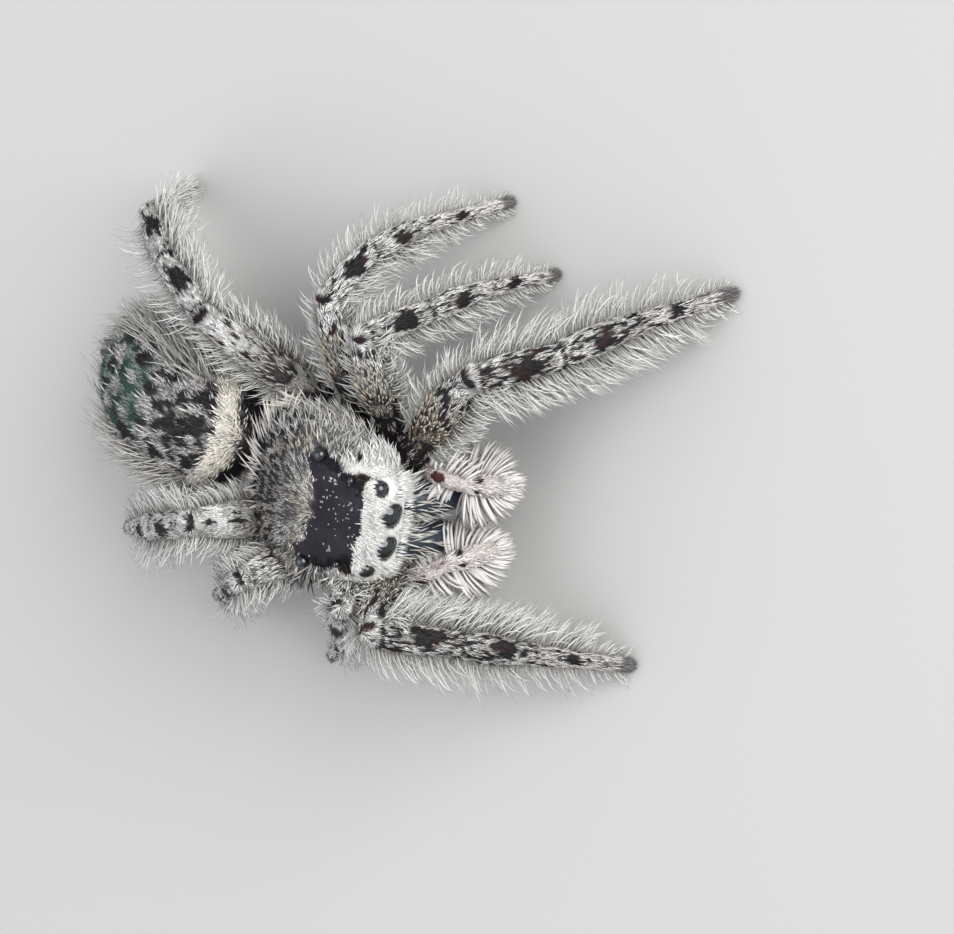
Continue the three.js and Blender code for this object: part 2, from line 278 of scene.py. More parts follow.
def tail_axes(trunk):
    """The abdomen's axes, turned on the waist."""
    turn = trunk.turn @ turned("X", -TAIL_UP) @ turned("Y", TAIL_ROLL) @ turned("Z", -TAIL_LEFT)
    return Axes(turn, trunk.out(WAIST))


class Loft:
    """A rounded body through a table of sections; angle 0 is its top and a quarter turn its left."""

    def __init__(self, name, axes, table):
        self.name = self.kind = name
        self.axes, self.table = axes, np.asarray(table, float)
        self.squareness, self.depth = SQUARENESS[name], COAT_DEPTH[name]
        self.low, self.high = 0.0, 1.0

    def sizes(self, t):
        """Middle height, half width and half height of the skin at t."""
        half, top, bottom = (smooth_along(self.table, column, t) for column in (1, 2, 3))
        wide = np.maximum(half - self.depth, LEAST_SIZE)
        return (top + bottom) / 2, wide, np.maximum((top - bottom) / 2 - self.depth, LEAST_SIZE)

    def ahead(self, t):
        """The distance ahead at t."""
        return smooth_along(self.table, 0, t) + self.depth * np.cos(math.pi * t)

    def surface(self, t, angle):
        middle, half, tall = self.sizes(t)
        sine, cosine = np.sin(angle), np.cos(angle)
        power = 2 / self.squareness
        left = np.sign(sine) * np.abs(sine) ** power * half
        up = middle + np.sign(cosine) * np.abs(cosine) ** power * tall
        return self.axes.out(np.stack([self.ahead(t), left, up], -1))

    def locate(self, points):
        """t, angle and depth of points, the depth negative inside."""
        ahead, left, up = np.moveaxis(self.axes.into(points), -1, 0)
        steps = np.linspace(0, 1, 200)
        t = np.interp(ahead, self.ahead(steps), steps)
        middle, half, tall = self.sizes(t)
        n = self.squareness
        across, high = np.abs(left) / half, np.abs(up - middle) / tall
        ratio = (across ** n + high ** n) ** (1 / n)
        angle = np.arctan2(np.sign(left) * across ** (n / 2), np.sign(up - middle) * high ** (n / 2))
        beyond = np.maximum(self.table[0, 0] - ahead, ahead - self.table[-1, 0])
        return t, angle, np.maximum((ratio - 1) * np.minimum(half, tall), beyond)


class Limb:
    """A round limb; angle 0 is its upper side and a quarter turn the side that faces front."""

    FLOW_TURNS = 0.80   # where along it the hair starts to turn into the next limb's direction
    HAIRY_END = 0.97    # the share of its rounded end that bears hair

    def __init__(self, name, start, end, radii, side, kind, pair=0, onward=None):
        self.name, self.kind, self.pair, self.side = name, kind, pair, side
        self.start, self.end, self.radii = start, end, np.array([[r] for r in radii])
        self.length = float(np.linalg.norm(end - start))
        self.axis = (end - start) / self.length
        high = np.array([0.0, 0.0, 1.0])
        self.upper = unit(high - (high @ self.axis) * self.axis)
        self.front = side * np.cross(self.axis, self.upper)
        self.onward = self.axis if onward is None else unit(onward - end)
        self.low, self.high = 0.0, 1 + self.HAIRY_END * radii[-1] / self.length

    def flow(self, t):
        """The direction that hair follows, which turns into the next limb's at the joint."""
        return unit(mix(self.axis, self.onward, ease(self.FLOW_TURNS, 1.0, t)))

    def radius(self, t):
        """The radius at t, rounded off beyond either end."""
        beyond = np.maximum(np.maximum(-t, t - 1) * self.length, 0)
        r = smooth_along(self.radii, 0, np.clip(t, 0, 1))
        return np.sqrt(np.maximum(r * r - beyond * beyond, 0))

    def surface(self, t, angle):
        r = self.radius(t)[..., None]
        ring = np.cos(angle)[..., None] * self.upper + np.sin(angle)[..., None] * self.front
        return self.start + (t * self.length)[..., None] * self.axis + r * ring

    def locate(self, points):
        p = points - self.start
        t = p @ self.axis / self.length
        from_axis = p - np.outer(t * self.length, self.axis)
        held = np.clip(t, 0, 1)
        away = np.linalg.norm(p - np.outer(held * self.length, self.axis), axis=1)
        angle = np.arctan2(from_axis @ self.front, from_axis @ self.upper)
        return t, angle, away - smooth_along(self.radii, 0, held)


def heading_vector(heading, elevation, side):
    h, e = math.radians(heading), math.radians(elevation)
    return np.array([side * math.cos(e) * math.sin(h), -math.cos(e) * math.cos(h), math.sin(e)])


def leg_limbs(trunk, leg):
    """The limbs of one leg, its foot coming down to the floor."""
    side, number = SIDES[leg[0]], int(leg[1])
    pair = LEG_PAIRS[number - 1]
    headings, elevations = STANCE[leg]
    joints = [trunk.out((p[0], side * p[1], p[2])) for p in (pair["root"], pair["hip"])]
    for heading, elevation, length in zip(headings, elevations, pair["lengths"]):
        joints.append(joints[-1] + length * heading_vector(heading, elevation, side))
    foot = pair["lengths"][3]
    dive = -math.degrees(math.asin((joints[-1][2] - TOE_HEIGHT) / foot))
    toe = joints[-1] + foot * heading_vector(headings[3], dive, side)
    heel = joints[-1]
    joints += [heel + ANKLE_SHARE * (toe - heel), toe]
    limbs = []
    for i, kind in enumerate(BARE):
        radii = [r * PAIR_GIRTH[number - 1] for r in BARE[kind]]
        onward = joints[i + 2] if i + 2 < len(joints) else None
        name = f"leg_{leg}_{kind}"
        limbs.append(Limb(name, joints[i], joints[i + 1], radii, side, kind, number, onward))
    return limbs


def palp_limbs(trunk, letter):
    """The three limbs of one palp."""
    side = SIDES[letter]
    joints = [trunk.out((p[0], side * p[1], p[2])) for p in PALPS[letter]]
    joints[-1] = joints[-1] + PALP_TIP_COAT * unit(joints[-2] - joints[-1])
    limbs = []
    for i, (kind, radii) in enumerate(PALP_RADII.items()):
        onward = joints[i + 2] if i + 2 < len(joints) else None
        name = f"palp_{letter}_{kind}"
        limbs.append(Limb(name, joints[i], joints[i + 1], radii, side, f"palp_{kind}", 0, onward))
    return limbs


def socket_limbs(trunk):
    """Short tubes of skin that hold the front eyes."""
    limbs = []
    for place, (facing, before) in SOCKETS.items():
        (ahead, left, up), radius = EYES[place]
        for letter, side in SIDES.items():
            out = unit(trunk.vector((facing[0], side * facing[1], facing[2])))
            end = trunk.out((ahead, side * left, up)) + before * out
            radii = [share * radius for share in SOCKET_RADII]
            start = end - SOCKET_LENGTH * out
            limbs.append(Limb(f"socket_{place}_{letter}", start, end, radii, side, "socket"))
    return limbs


def spinneret_limbs(tail):
    """Two pairs of spinnerets round a middle one."""
    limbs = []
    for i, share in enumerate(SPINNERET_SHARES):
        turn = math.pi / 4 + i * math.pi / 2
        ring = 0 if i == 4 else SPINNERETS["ring"]
        root = (SPINNERETS["ahead"], ring * math.cos(turn), SPINNERETS["up"] + ring * math.sin(turn))
        tip = (root[0] - SPINNERETS["length"] * share, root[1] * SPINNERET_SPLAY, root[2])
        start, end = tail.out(root), tail.out(tip)
        limbs.append(Limb(f"spinneret_{i}", start, end, SPINNERETS["radii"], 1, "spinneret"))
    return limbs


# ---- Meshes ------------------------------------------------------------------------------------

ROUND = 40          # faces round a form
LOFT_RINGS = 48
LOFT_END = 0.02     # where the rings of a loft start, on a half turn
LIMB_RINGS = 24
CAP_RINGS = 7       # of a limb's rounded ends
INNER = 0.999       # a ring close inside the outer one of the cap at a limb's start
NEARLY = 0.9999     # how far out the last ring of a rounded end is


def closed_faces(rings, sides=ROUND):
    """Faces of a tube of rings whose first and last ring are closed onto the two points that follow."""
    ring, step = np.meshgrid(np.arange(rings - 1), np.arange(sides), indexing="ij")
    a = ring * sides + step
    b = ring * sides + (step + 1) % sides
    faces = [tuple(f) for f in np.stack([a, b, b + sides, a + sides], -1).reshape(-1, 4)]
    first_end, last_ring = rings * sides, (rings - 1) * sides
    for k in range(sides):
        after = (k + 1) % sides
        faces += [(first_end, after, k), (first_end + 1, last_ring + k, last_ring + after)]
    return faces


def form_mesh(form):
    """A closed mesh of a form, as (vertices, faces)."""
    if isinstance(form, Limb):
        first, last = form.radii[0, 0] / form.length, form.radii[-1, 0] / form.length
        cap = np.sin(np.linspace(0, math.pi / 2, CAP_RINGS))[::-1][1:-1]
        between = np.linspace(0, 1, LIMB_RINGS)
        t = np.concatenate([-first * INNER * cap[:1], -first * cap, between, 1 + last * cap])
        t = np.unique(np.concatenate([[-first * NEARLY], t, [1 + last * NEARLY]]))
    else:
        t = (1 - np.cos(np.linspace(LOFT_END, math.pi - LOFT_END, LOFT_RINGS))) / 2
    angle = np.linspace(0, 2 * math.pi, ROUND, endpoint=False)
    tt, aa = np.meshgrid(t, angle, indexing="ij")
    points = form.surface(tt.ravel(), aa.ravel())
    points = np.vstack([points, points[:ROUND].mean(0), points[-ROUND:].mean(0)])
    return points, closed_faces(len(t))


def placed(name, data):
    """A new object in the scene that shows some data."""
    item = bpy.data.objects.new(name, data)
    bpy.context.scene.collection.objects.link(item)
    return item


def mesh_object(name, points, faces):
    mesh = bpy.data.meshes.new(name)
    mesh.from_pydata(points.tolist(), [], faces)
    mesh.update()
    return placed(name, mesh)


def set_tint(mesh, colours, gloss):
    """Colour and roughness at each vertex, for the shaders."""
    tint = mesh.attributes.new("Tint", "FLOAT_COLOR", "POINT")
    values = np.column_stack([np.clip(colours, 0, 1), np.broadcast_to(gloss, len(colours))])
    tint.data.foreach_set("color", values.astype(np.float32).ravel())


def shade_smooth(mesh):
    mesh.polygons.foreach_set("use_smooth", np.ones(len(mesh.polygons), bool))
    mesh.update()


# ---- Markings, shared by the skin and the coat -----------------------------------------------
#
# Plain numbers in these functions are places and widths in mm, shares of a limb's length, angles
# round a limb in degrees, levels of noise from 0 to 1, and shares of a colour.

# The bare eye field on the carapace, and the black line along its sides: ahead and to the side.
FIELD = {"rear": 0.64, "front": 1.83}
SIDE_LINE = ((0.52, 1.12), (0.80, 1.12), (1.06, 1.06), (1.30, 0.95), (1.50, 0.84), (1.74, 0.84))
# Black dashes below the line: ahead, to the side, half length and half width.
BLACK_DASHES = ((1.32, 1.47, 0.065, 0.12), (1.02, 1.52, 0.04, 0.07))
# Dark and pale marks on the back of the abdomen: distance ahead, to either side, and radius.
DARK_MARKS = (
    (-1.05, 0.74, 0.19), (-1.88, 0.80, 0.17), (-2.86, 0.82, 0.22), (-1.25, 0.08, 0.14),
    (-2.35, 0.40, 0.11), (-3.75, 0.24, 0.18), (-1.55, 0.42, 0.10),
)
PALE_MARKS = (
    (-1.58, 1.12, 0.16), (-1.05, 0.42, 0.11), (-2.14, 0.60, 0.13), (-3.62, 0.56, 0.16),
    (-2.25, 0.05, 0.16), (-1.35, 0.92, 0.12), (-1.62, 0.72, 0.10), (-2.9, 0.40, 0.11),
)
MARK_BLACK = 1.4   # brightness of the dark marks, in shares of black


def line_distance(points, line):
    """Distance of flat points to a line of straight steps."""
    best = np.full(len(points), 1e9)
    for a, b in zip(line[:-1], line[1:]):
        a, step = np.array(a), np.array(b) - np.array(a)
        t = np.clip((points - a) @ step / (step @ step), 0, 1)
        best = np.minimum(best, np.linalg.norm(points - a - t[:, None] * step, axis=1))
    return best


def both_sides(place):
    """Places with the right side folded onto the left."""
    return np.column_stack([place[:, 0], np.abs(place[:, 1]), place[:, 2]])


def eye_gap(place):
    """Distance outside the nearest eye's edge, for places in the trunk's axes."""
    best = np.full(len(place), 1e9)
    for centre, radius in EYES.values():
        best = np.minimum(best, np.linalg.norm(both_sides(place) - centre, axis=1) - radius)
    return best


def before_eyes(place):
    """Whether places hang before a front eye, where the hair leaves a gap for it to see through."""
    hidden = np.zeros(len(place), bool)
    for name, (facing, _) in SOCKETS.items():
        centre, radius = EYES[name]
        out = unit(np.array(facing))
        across = unit(np.cross((0.0, 0.0, 1.0), out))
        gap = both_sides(place) - centre
        along, high, wide = gap @ out, gap @ np.cross(out, across), np.abs(gap @ across)
        inside = (along > EYE_OPENS[name] + VIEW["slant"] * high) & (along < VIEW["length"])
        inside &= (high > -VIEW["down"] * radius) & (high < VIEW["up"])
        hidden |= inside & (wide < VIEW["wide"] * radius)
    return hidden


def eye_field(place):
    """1 on the bare patch between the eyes, 0 off it, with a ragged edge."""
    ahead, left, up = place.T
    wobble = 0.24 * (patches(place, 0.20, 3) - 0.5) + 0.22 * (patches(place, 0.07, 5) - 0.5)
    side = np.abs(left)
    rear = FIELD["rear"] - 0.28 * ease(0.35, 0.95, side)
    front = FIELD["front"] - 0.20 * left ** 2
    along = np.minimum(ahead - rear, front - ahead) + wobble
    across = np.interp(ahead, *np.array(SIDE_LINE).T) - side + 0.3 * wobble
    return ease(-0.02, 0.02, np.minimum(along, across)) * (up > 1)


def strokes(place, centre, size, seed):
    """Noise in short strokes that run away from a centre, from 0 to 1."""
    ahead, left = place[:, 0] - centre[0], place[:, 1] - centre[1]
    along = np.hypot(ahead, left)
    around = np.arctan2(left, -ahead) * 1.3
    return patches(np.column_stack([along * 0.42, around, place[:, 2] * 0.4]), size, seed)


def trunk_marks(place):
    """Colours of the hair and of the skin under it, the skin's roughness and masks, on the carapace."""
    ahead, left, up = place.T
    side = np.abs(left)
    coarse, fine = patches(place, 0.45, 1), patches(place, 0.16, 2)
    grain = strokes(place, (1.0, 0.0), 0.042, 4)
    rear = ease(0.3, -0.5, ahead)
    hair = mix(PALE * 0.60, WHITE * 0.80, ease(0.25, 0.60, 0.6 * grain + 0.4 * fine))
    hair = mix(hair, CREAM * 0.9, 0.6 * ease(0.35, 0.70, coarse) * ease(1.2, 0.3, ahead))
    worn = 0.6 * rear * ease(0.40, 0.60, patches(place, 0.30, 7))
    hair = mix(hair, mix(GREY, PURPLE * 4, 0.5) * 0.8, worn)
    limit = 0.56 - 0.07 * rear + 0.20 * (fine - 0.5)
    hair = mix(hair, mix(GREY * 0.45, SOOT * 0.6, rear), ease(0, 0.05, grain - limit))
    band = hump(FIELD["rear"] - 0.16, 0.22, ahead) * ease(0.95, 0.6, side)
    hair = mix(hair, mix(CREAM, WHITE, 0.5), 0.7 * band)
    # Painted shade: the hair on the rear slope is painted black for the deep shadow in the gap before the
    # abdomen.
    slope = ease(-1.04, -1.18, ahead - 0.10 * side + 0.2 * (fine - 0.5))
    hair = mix(hair, BLACK * 1.5, slope)
    reach = ahead + 0.1 * (fine - 0.5) + 0.20 * left ** 2
    face = ease(FIELD["front"] - 0.16, FIELD["front"] - 0.02, reach)
    cheek = ease(0.96, 1.06, side) * ease(0.85, 1.25, ahead + 0.6 * (fine - 0.5) - 0.5 * (side - 1.0))
    face = np.maximum(face, cheek) * ease(1.72, 1.56, side + 0.12 * (fine - 0.5))
    hair = mix(hair, WHITE * 0.84, face)
    flat = np.column_stack([ahead, side])
    line = line_distance(flat, SIDE_LINE)
    ragged = 0.22 * (patches(place, 0.11, 6) - 0.5)
    black = ease(0.12, 0.07, line + ragged) * (up > 1) * ease(0.42, 0.50, ahead)
    tuft = hump(0, 0.40, np.hypot(ahead - 1.60, (side - 0.98) * 1.6))
    tuft = ease(0.15, 0.30, tuft + ragged) * (up > 1)
    hair = mix(hair, mix(BROWN * 0.7, BLACK, ease(0.35, 0.55, grain)), tuft)
    for x, y, half_length, half_width in BLACK_DASHES:
        along = (ahead - x) / half_length
        dash = np.hypot(along, (side - y) / half_width + 0.8 * along)
        black = np.maximum(black, ease(1.15, 0.85, dash))
    hair = mix(hair, BLACK, black)
    field = eye_field(place) * (1 - black)
    spot = hump(0, 1.3, np.hypot((ahead - 1.00) / 0.12, (side - 0.80) / 0.07)) * (left > 0)
    skin = mix(hair * 0.30, SOOT * 0.7, 0.5)
    # Painted light: under the face's white hair the skin is painted nearly as white, so the shade between
    # the hairs stays light.
    skin = mix(skin, hair * 0.85, face * (1 - black))
    bare = mix(PURPLE * 0.24, PURPLE * 0.58, 0.6 * coarse + 0.4 * patches(place, 0.06, 9))
    skin = mix(skin, bare, field)
    rim = ease(0.05, 0.02, eye_gap(place))
    skin = mix(skin, BLACK, np.maximum(rim, black))
    hair = mix(hair, WHITE, field)
    rough = 0.75 - 0.20 * np.maximum(field, rim)
    return SimpleNamespace(hair=hair, skin=skin, rough=rough, field=field, face=face, black=black,
                           spot=spot, tuft=tuft)


def tail_marks(place):
    """The same on the abdomen: black painted shade at the front, a pale band, then black and white marks
    and a green sheen.
    """
    ahead, left, up = place.T
    side = np.abs(left)
    coarse, fine = patches(place, 0.30, 11), patches(place, 0.12, 12)
    grain = patches(place * (0.45, 1, 1), 0.055, 13)
    back = ease(0.35, 0.75, up) * ease(1.45, 1.20, side)
    flank = mix(GREY * 0.9, PALE * 0.8, ease(0.3, 0.7, 0.6 * grain + 0.4 * coarse))
    rear = ease(-1.9, -2.7, ahead)
    # Painted sheen: towards the rear the dark mottling turns teal, part of the green sheen.
    dark = mix(SOOT * 0.5, TEAL * 0.5, rear * ease(0.35, 0.6, coarse))
    pale = mix(PALE * 0.55, WHITE * 0.66, ease(0.4, 0.7, fine))
    lumps = patches(place, 0.17, 15)
    mottled = mix(dark, pale, ease(0.485, 0.545, 0.18 * coarse + 0.62 * lumps + 0.20 * grain))
    hair = mix(flank, mottled, back)
    cloud = patches(place, 0.55, 14) + 0.2 * (fine - 0.5)
    sheen = back * rear * ease(0.30, 0.60, cloud) * ease(1.05, 0.55, side)
    hair = mix(hair, mix(TEAL * 0.4, TEAL * 1.7, 0.6 * lumps + 0.4 * grain), 0.55 * sheen)
    for x, y, radius in DARK_MARKS:
        away = np.hypot(ahead - x, side - y) + 0.16 * (fine - 0.5) + 0.20 * (grain - 0.5)
        hair = mix(hair, BLACK * MARK_BLACK, ease(radius, radius * 0.8, away) * (up > 0.2))
    for x, y, radius in PALE_MARKS:
        away = np.hypot((ahead - x) / 1.25, side - y) + 0.18 * (fine - 0.5)
        hair = mix(hair, mix(PINK, WHITE, 0.5) * 0.75, ease(radius, radius * 0.8, away) * (up > 0.2))
    edge = ahead + 0.35 * side ** 2 + 0.10 * (grain - 0.5)
    band = ease(-0.62, -0.52, edge) * ease(-2.2, -1.4, ahead)
    hair = mix(hair, mix(TAN * 1.1, WHITE * 1.1, 0.40 + 0.60 * grain), band)
    # Painted shade: the front of the abdomen, in the gap by the carapace, is painted black for its deep
    # shadow; front is its mask.
    front = ease(-0.34, -0.27, edge)
    hair = mix(hair, BLACK, front)
    skin = mix(hair * 0.40, SOOT * 0.8, 0.45 + 0.3 * fine)
    rough = 0.7 - 0.25 * sheen
    return SimpleNamespace(hair=hair, skin=skin, rough=rough, band=band, back=back, front=front)


# The dark share at the start of a segment.
RINGS = {"patella": 0.10, "tibia": 0.10, "metatarsus": 0.08, "tarsus": 0.10}
# The dark blotch of a segment: its middle and half length as shares, degrees to the front, and the
# level of noise above which its streaks are dark.
BLOTCHES = {
    "patella": (0.64, 0.42, 22, 0.54),
    "tibia": (0.60, 0.28, 28, 0.56),
    "metatarsus": (0.80, 0.26, 10, 0.56),
}
FEWER_STREAKS = {1: 0.0, 2: 0.09, 3: 0.09, 4: 0.15}   # how much that level rises on each pair of legs
LIGHTER = {1: 1.0, 2: 1.2, 3: 1.2, 4: 1.2}            # brightness of each pair's pale hair, as a share


def leg_marks(limb, t, angle):
    """The same on a leg: a dark ring at each joint, streaks above and dark patches on the shin."""
    along = t * limb.length
    around = np.column_stack([along / 3.0, 0.30 * np.cos(angle), 0.30 * np.sin(angle)])
    seed = 20 + 5 * limb.pair + (limb.side > 0) + 3 * len(limb.kind)
    streak, fine = patches(around, 0.052, seed), patches(around, 0.035, seed + 1)
    blotch = patches(around * (3, 1, 1), 0.30, seed + 2)
    turn = np.degrees(angle)
    top = ease(120, 80, np.abs(turn - 10))
    lumps = patches(around * (7, 1, 1), 0.15, seed + 4)
    hair = mix(PALE * 0.66, WHITE * 0.90, ease(0.35, 0.60, 0.4 * fine + 0.6 * lumps))
    hair = hair * LIGHTER[limb.pair]
    fewer = FEWER_STREAKS[limb.pair]
    dark = np.zeros(len(t))
    # The coxae's hair is soot black with pale streaks: their own dark colour, and partly painted shade
    # where they sit under the carapace.
    if limb.kind == "coxa":
        hair, dark = mix(SOOT, PALE * 0.7, ease(0.52, 0.62, streak)), ease(0.45, 0.35, streak)
    if limb.kind == "femur":
        base = ease(0.80, 0.30, t + 0.35 * (blotch - 0.5))
        if limb.pair == 4:
            near_hip = mix(PALE * 0.6, RED_BROWN * 1.2, ease(0.40, 0.55, blotch))
        else:
            near_hip = mix(TAN * 0.6, BROWN if limb.pair == 1 else GREY * 0.6, ease(0.35, 0.6, fine))
        hair = mix(hair, near_hip, 0.9 * base)
        limit = 0.56 + fewer
        dark = np.maximum(ease(limit, limit + 0.06, streak), ease(0.48, 0.58, blotch) * base)
        dark *= ease(1.0, 0.9, t)
        dark = np.maximum(dark, ease(1.0, 1.01, t) * ease(1.09, 1.06, t) * ease(75, 55, np.abs(turn)))
    if limb.kind in BLOTCHES:
        middle, half, aside, limit = BLOTCHES[limb.kind]
        limit = limit + fewer
        patch = hump(middle, half, t) * hump(aside, 66, turn)
        patch = patch + 0.50 * (streak - 0.5) + 0.70 * (lumps - 0.5)
        dark = np.maximum(ease(limit, limit + 0.06, streak) * top, ease(0.34, 0.42, patch))
    if limb.kind in ("metatarsus", "tarsus"):
        hair = mix(hair, PINK * 1.2, 0.4)
    if limb.kind == "tarsus":
        dark = np.maximum(0.8 * ease(0.62, 0.68, streak) * top, 0.9 * ease(0.82, 0.95, t))
    if limb.kind in RINGS:
        share = RINGS[limb.kind]
        dark = np.maximum(dark, ease(share * 1.2, share * 0.9, t + 0.06 * (fine - 0.5)))
    reddish = limb.kind in ("patella", "femur", "tibia")
    warm = 0.36 * reddish * ease(0.52, 0.66, patches(around * (2, 1, 1), 0.14, seed + 3))
    hair = mix(hair, mix(BLACK, RED_BROWN, warm), dark)
    skin = mix(hair * 0.25, SOOT * 0.7, 0.5 + 0.2 * fine)
    if limb.pair == 4:
        skin = mix(hair * 0.6, SOOT, 0.2 + 0.3 * fine)
    # The coxae's skin is near black: its own colour, and partly painted shade under the carapace.
    if limb.kind == "coxa":
        skin = mix(BLACK, RED_BROWN, 0.15 * fine)
    rough = np.full(len(t), 0.45 if limb.kind == "coxa" else 0.6)
    return SimpleNamespace(hair=hair, skin=skin, rough=rough, turn=turn)


MM_PER_DEGREE = 0.0035   # round the tip of a palp


def palp_marks(limb, t, angle):
    """The same on a palp: rosy white, with a bare red-brown elbow and two black dots on the tip."""
    around = np.column_stack([t * limb.length / 2.5, 0.2 * np.cos(angle), 0.2 * np.sin(angle)])
    fine = patches(around, 0.05, 61 + (limb.side > 0))
    turn = np.degrees(angle)
    hair = mix(PINK * 0.9, mix(PINK, WHITE, 0.6), ease(0.3, 0.6, fine))
    skin = mix(PINK * 0.7, SOOT * 2, 0.6 * ease(0.5, 0.7, fine))
    top = ease(80, 60, np.abs(turn))
    bare, dots = np.zeros(len(t)), np.zeros(len(t))
    if limb.kind == "palp_femur":
        hair = mix(hair, mix(PINK, RED_BROWN * 2, 0.6), 0.7 * ease(0.50, 0.60, fine))
        bare = ease(0.95, 1.0, t + 0.30 * (fine - 0.5)) * top
    if limb.kind == "palp_tibia":
        bare = ease(0.10, 0.04, t - 0.10 * (limb.side < 0) + 0.30 * (fine - 0.5)) * top
        hair = mix(hair, RED_BROWN * 1.5, ease(0.56, 0.62, fine) * ease(0.5, 0.9, t))
    if limb.kind == "palp_tarsus":
        for side in (-1, 1):
            away = np.hypot((t - 0.34) * limb.length, (turn - side * 34) * MM_PER_DEGREE)
            dots = np.maximum(dots, ease(0.080, 0.060, away))
        hair = mix(hair, BLACK, dots)
    skin = mix(skin, mix(RED_BROWN * 0.9, BLACK, 0.4 + 0.4 * fine), np.maximum(bare, dots))
    return SimpleNamespace(hair=hair, skin=skin, rough=np.full(len(t), 0.5), dark=bare)


def marks_of(form, points, t, angle):
    """The markings at points on a form."""
    if form.kind == "carapace":
        return trunk_marks(form.axes.into(points))
    if form.kind == "abdomen":
        return tail_marks(form.axes.into(points))
    if form.kind.startswith("palp"):
        return palp_marks(form, t, angle)
    if form.kind in BARE:
        return leg_marks(form, t, angle)
    fine = patches(points, 0.12, 70)
    if form.kind == "socket":
        plain = mix(WHITE * 0.8, WHITE * 0.6, fine)
        return SimpleNamespace(hair=plain, skin=plain, rough=np.full(len(points), 0.6))
    dull = mix(SOOT, GREY * 0.6, fine)
    return SimpleNamespace(hair=dull * 1.5, skin=dull, rough=np.full(len(points), 0.55))


# ---- The skin ----------------------------------------------------------------------------------

SKIN_STEP = 0.055              # size of the skin's faces
SOFTEN, SOFTENINGS = 0.5, 5    # how far and how often the skin is smoothed


def make_skin(forms):
    """One closed skin over every form."""
    points, faces, start = [], [], 0
    for form in forms:
        p, f = form_mesh(form)
        points.append(p)
        faces += [tuple(k + start for k in face) for face in f]
        start += len(p)
    rough_cut = mesh_object("rough_cut", np.vstack(points), faces)
    remesh = rough_cut.modifiers.new("one_skin", "REMESH")
    remesh.mode, remesh.voxel_size = "VOXEL", SKIN_STEP
    smooth = rough_cut.modifiers.new("soften", "SMOOTH")
    smooth.factor, smooth.iterations = SOFTEN, SOFTENINGS
    evaluated = rough_cut.evaluated_get(bpy.context.evaluated_depsgraph_get())
    mesh = bpy.data.meshes.new_from_object(evaluated)
    bpy.data.objects.remove(rough_cut)
    mesh.name = "skin"
    co = np.empty(len(mesh.vertices) * 3, np.float32)
    mesh.vertices.foreach_get("co", co)
    co = co.reshape(-1, 3).astype(float)
    nearest = np.full(len(co), 1e9)
    skin, rough = np.zeros((len(co), 3)), np.zeros(len(co))
    for form in forms:
        t, angle, depth = form.locate(co)
        own = depth < nearest
        if own.any():
            nearest[own] = depth[own]
            marks = marks_of(form, co[own], t[own], angle[own])
            skin[own], rough[own] = marks.skin, marks.rough
    co[:, 2] = np.maximum(co[:, 2], 0)
    mesh.vertices.foreach_set("co", (co * MM).astype(np.float32).ravel())
    set_tint(mesh, skin, rough)
    shade_smooth(mesh)
    return placed("skin", mesh)


# ---- The coat ----------------------------------------------------------------------------------

PATCH = 0.003        # size of one hair's patch on its piece's UV map
MAP_MARGIN = 0.004
SHOWN = 0.6          # where along a flat hair the marking's colour is taken
FLOOR_GAP = 0.004    # no hair goes lower
WIDTH_SPREAD, TINT_SPREAD = 0.2, 0.14    # how far hairs differ, as shares
CURL_SPREAD = (0.5, 1.4)                 # least and most of the curl, as shares
HAIR_ROUGHNESS = 0.6
# Widths of a hair's rings from its root, below the tip, for each count of rings with the tip.
TAPERS = {2: (1.0,), 3: (0.8, 1.0), 4: (0.75, 1.0, 0.8)}
EVEN_STEPS = (0.7548776662, 0.5698402910)   # steps, modulo 1, that fill a square evenly
JITTER = 0.003
PROBES = 2000        # places where a form's area is sampled first


def roots_on(form, per_mm2, seed, t_range=None):
    """Places for hairs, spread evenly over a form or over a stretch of it."""
    random = np.random.default_rng(seed)
    low, high = t_range or (form.low, form.high)
    probe = random.random((PROBES, 2))
    area = spread(form, low + (high - low) * probe[:, 0], 2 * math.pi * probe[:, 1]).area
    most = 1.05 * np.quantile(area, 0.995)
    count = int((high - low) * 2 * math.pi * most * per_mm2)
    i = np.arange(1, count + 1)
    t = low + (high - low) * ((i * EVEN_STEPS[0] + 0.5 + JITTER * random.random(count)) % 1)
    angle = 2 * math.pi * ((i * EVEN_STEPS[1] + 0.5 + JITTER * random.random(count)) % 1 - 0.5)
    roots = spread(form, t, angle)
    keep = random.random(count) < roots.area / most
    return pick(roots, keep)


def spread(form, t, angle):
    """Roots at t and angle: their places, normals and share of the surface."""
    step = 1e-3
    place = form.surface(t, angle)
    before, after = np.maximum(t - step, form.low), np.minimum(t + step, form.high)
    forward = (form.surface(after, angle) - form.surface(before, angle)) / (after - before)[:, None]
    across = (form.surface(t, angle + step) - form.surface(t, angle - step)) / (2 * step)
    normal = np.cross(forward, across)
    area = np.linalg.norm(normal, axis=1)
    normal = unit(normal)
    middle = form.surface(t, angle + math.pi)
    normal *= np.where(dot(normal, place - middle) < 0, -1, 1)[:, None]
    return SimpleNamespace(form=form, t=t, angle=angle, place=place, normal=normal, area=area)


def pick(group, keep):
    """Only some of a group of roots or hairs."""
    kept = {}
    for name, value in vars(group).items():
        if isinstance(value, SimpleNamespace):
            value = pick(value, keep)
        kept[name] = value[keep] if isinstance(value, np.ndarray) else value
    return SimpleNamespace(**kept)


def outside(roots, forms, depth=0.03):
    """Whether each root is clear of the other forms."""
    clear = np.ones(len(roots.t), bool)
    low, high = roots.place.min(0) - 0.1, roots.place.max(0) + 0.1
    for other in forms:
        if other is roots.form:
            continue
        ends = other.surface(np.repeat(np.linspace(0, 1, 9), 8), np.tile(np.arange(8) * math.pi / 4, 9))
        if np.all(ends.min(0) < high) and np.all(ends.max(0) > low):
            clear &= other.locate(roots.place)[2] > -depth
    return clear


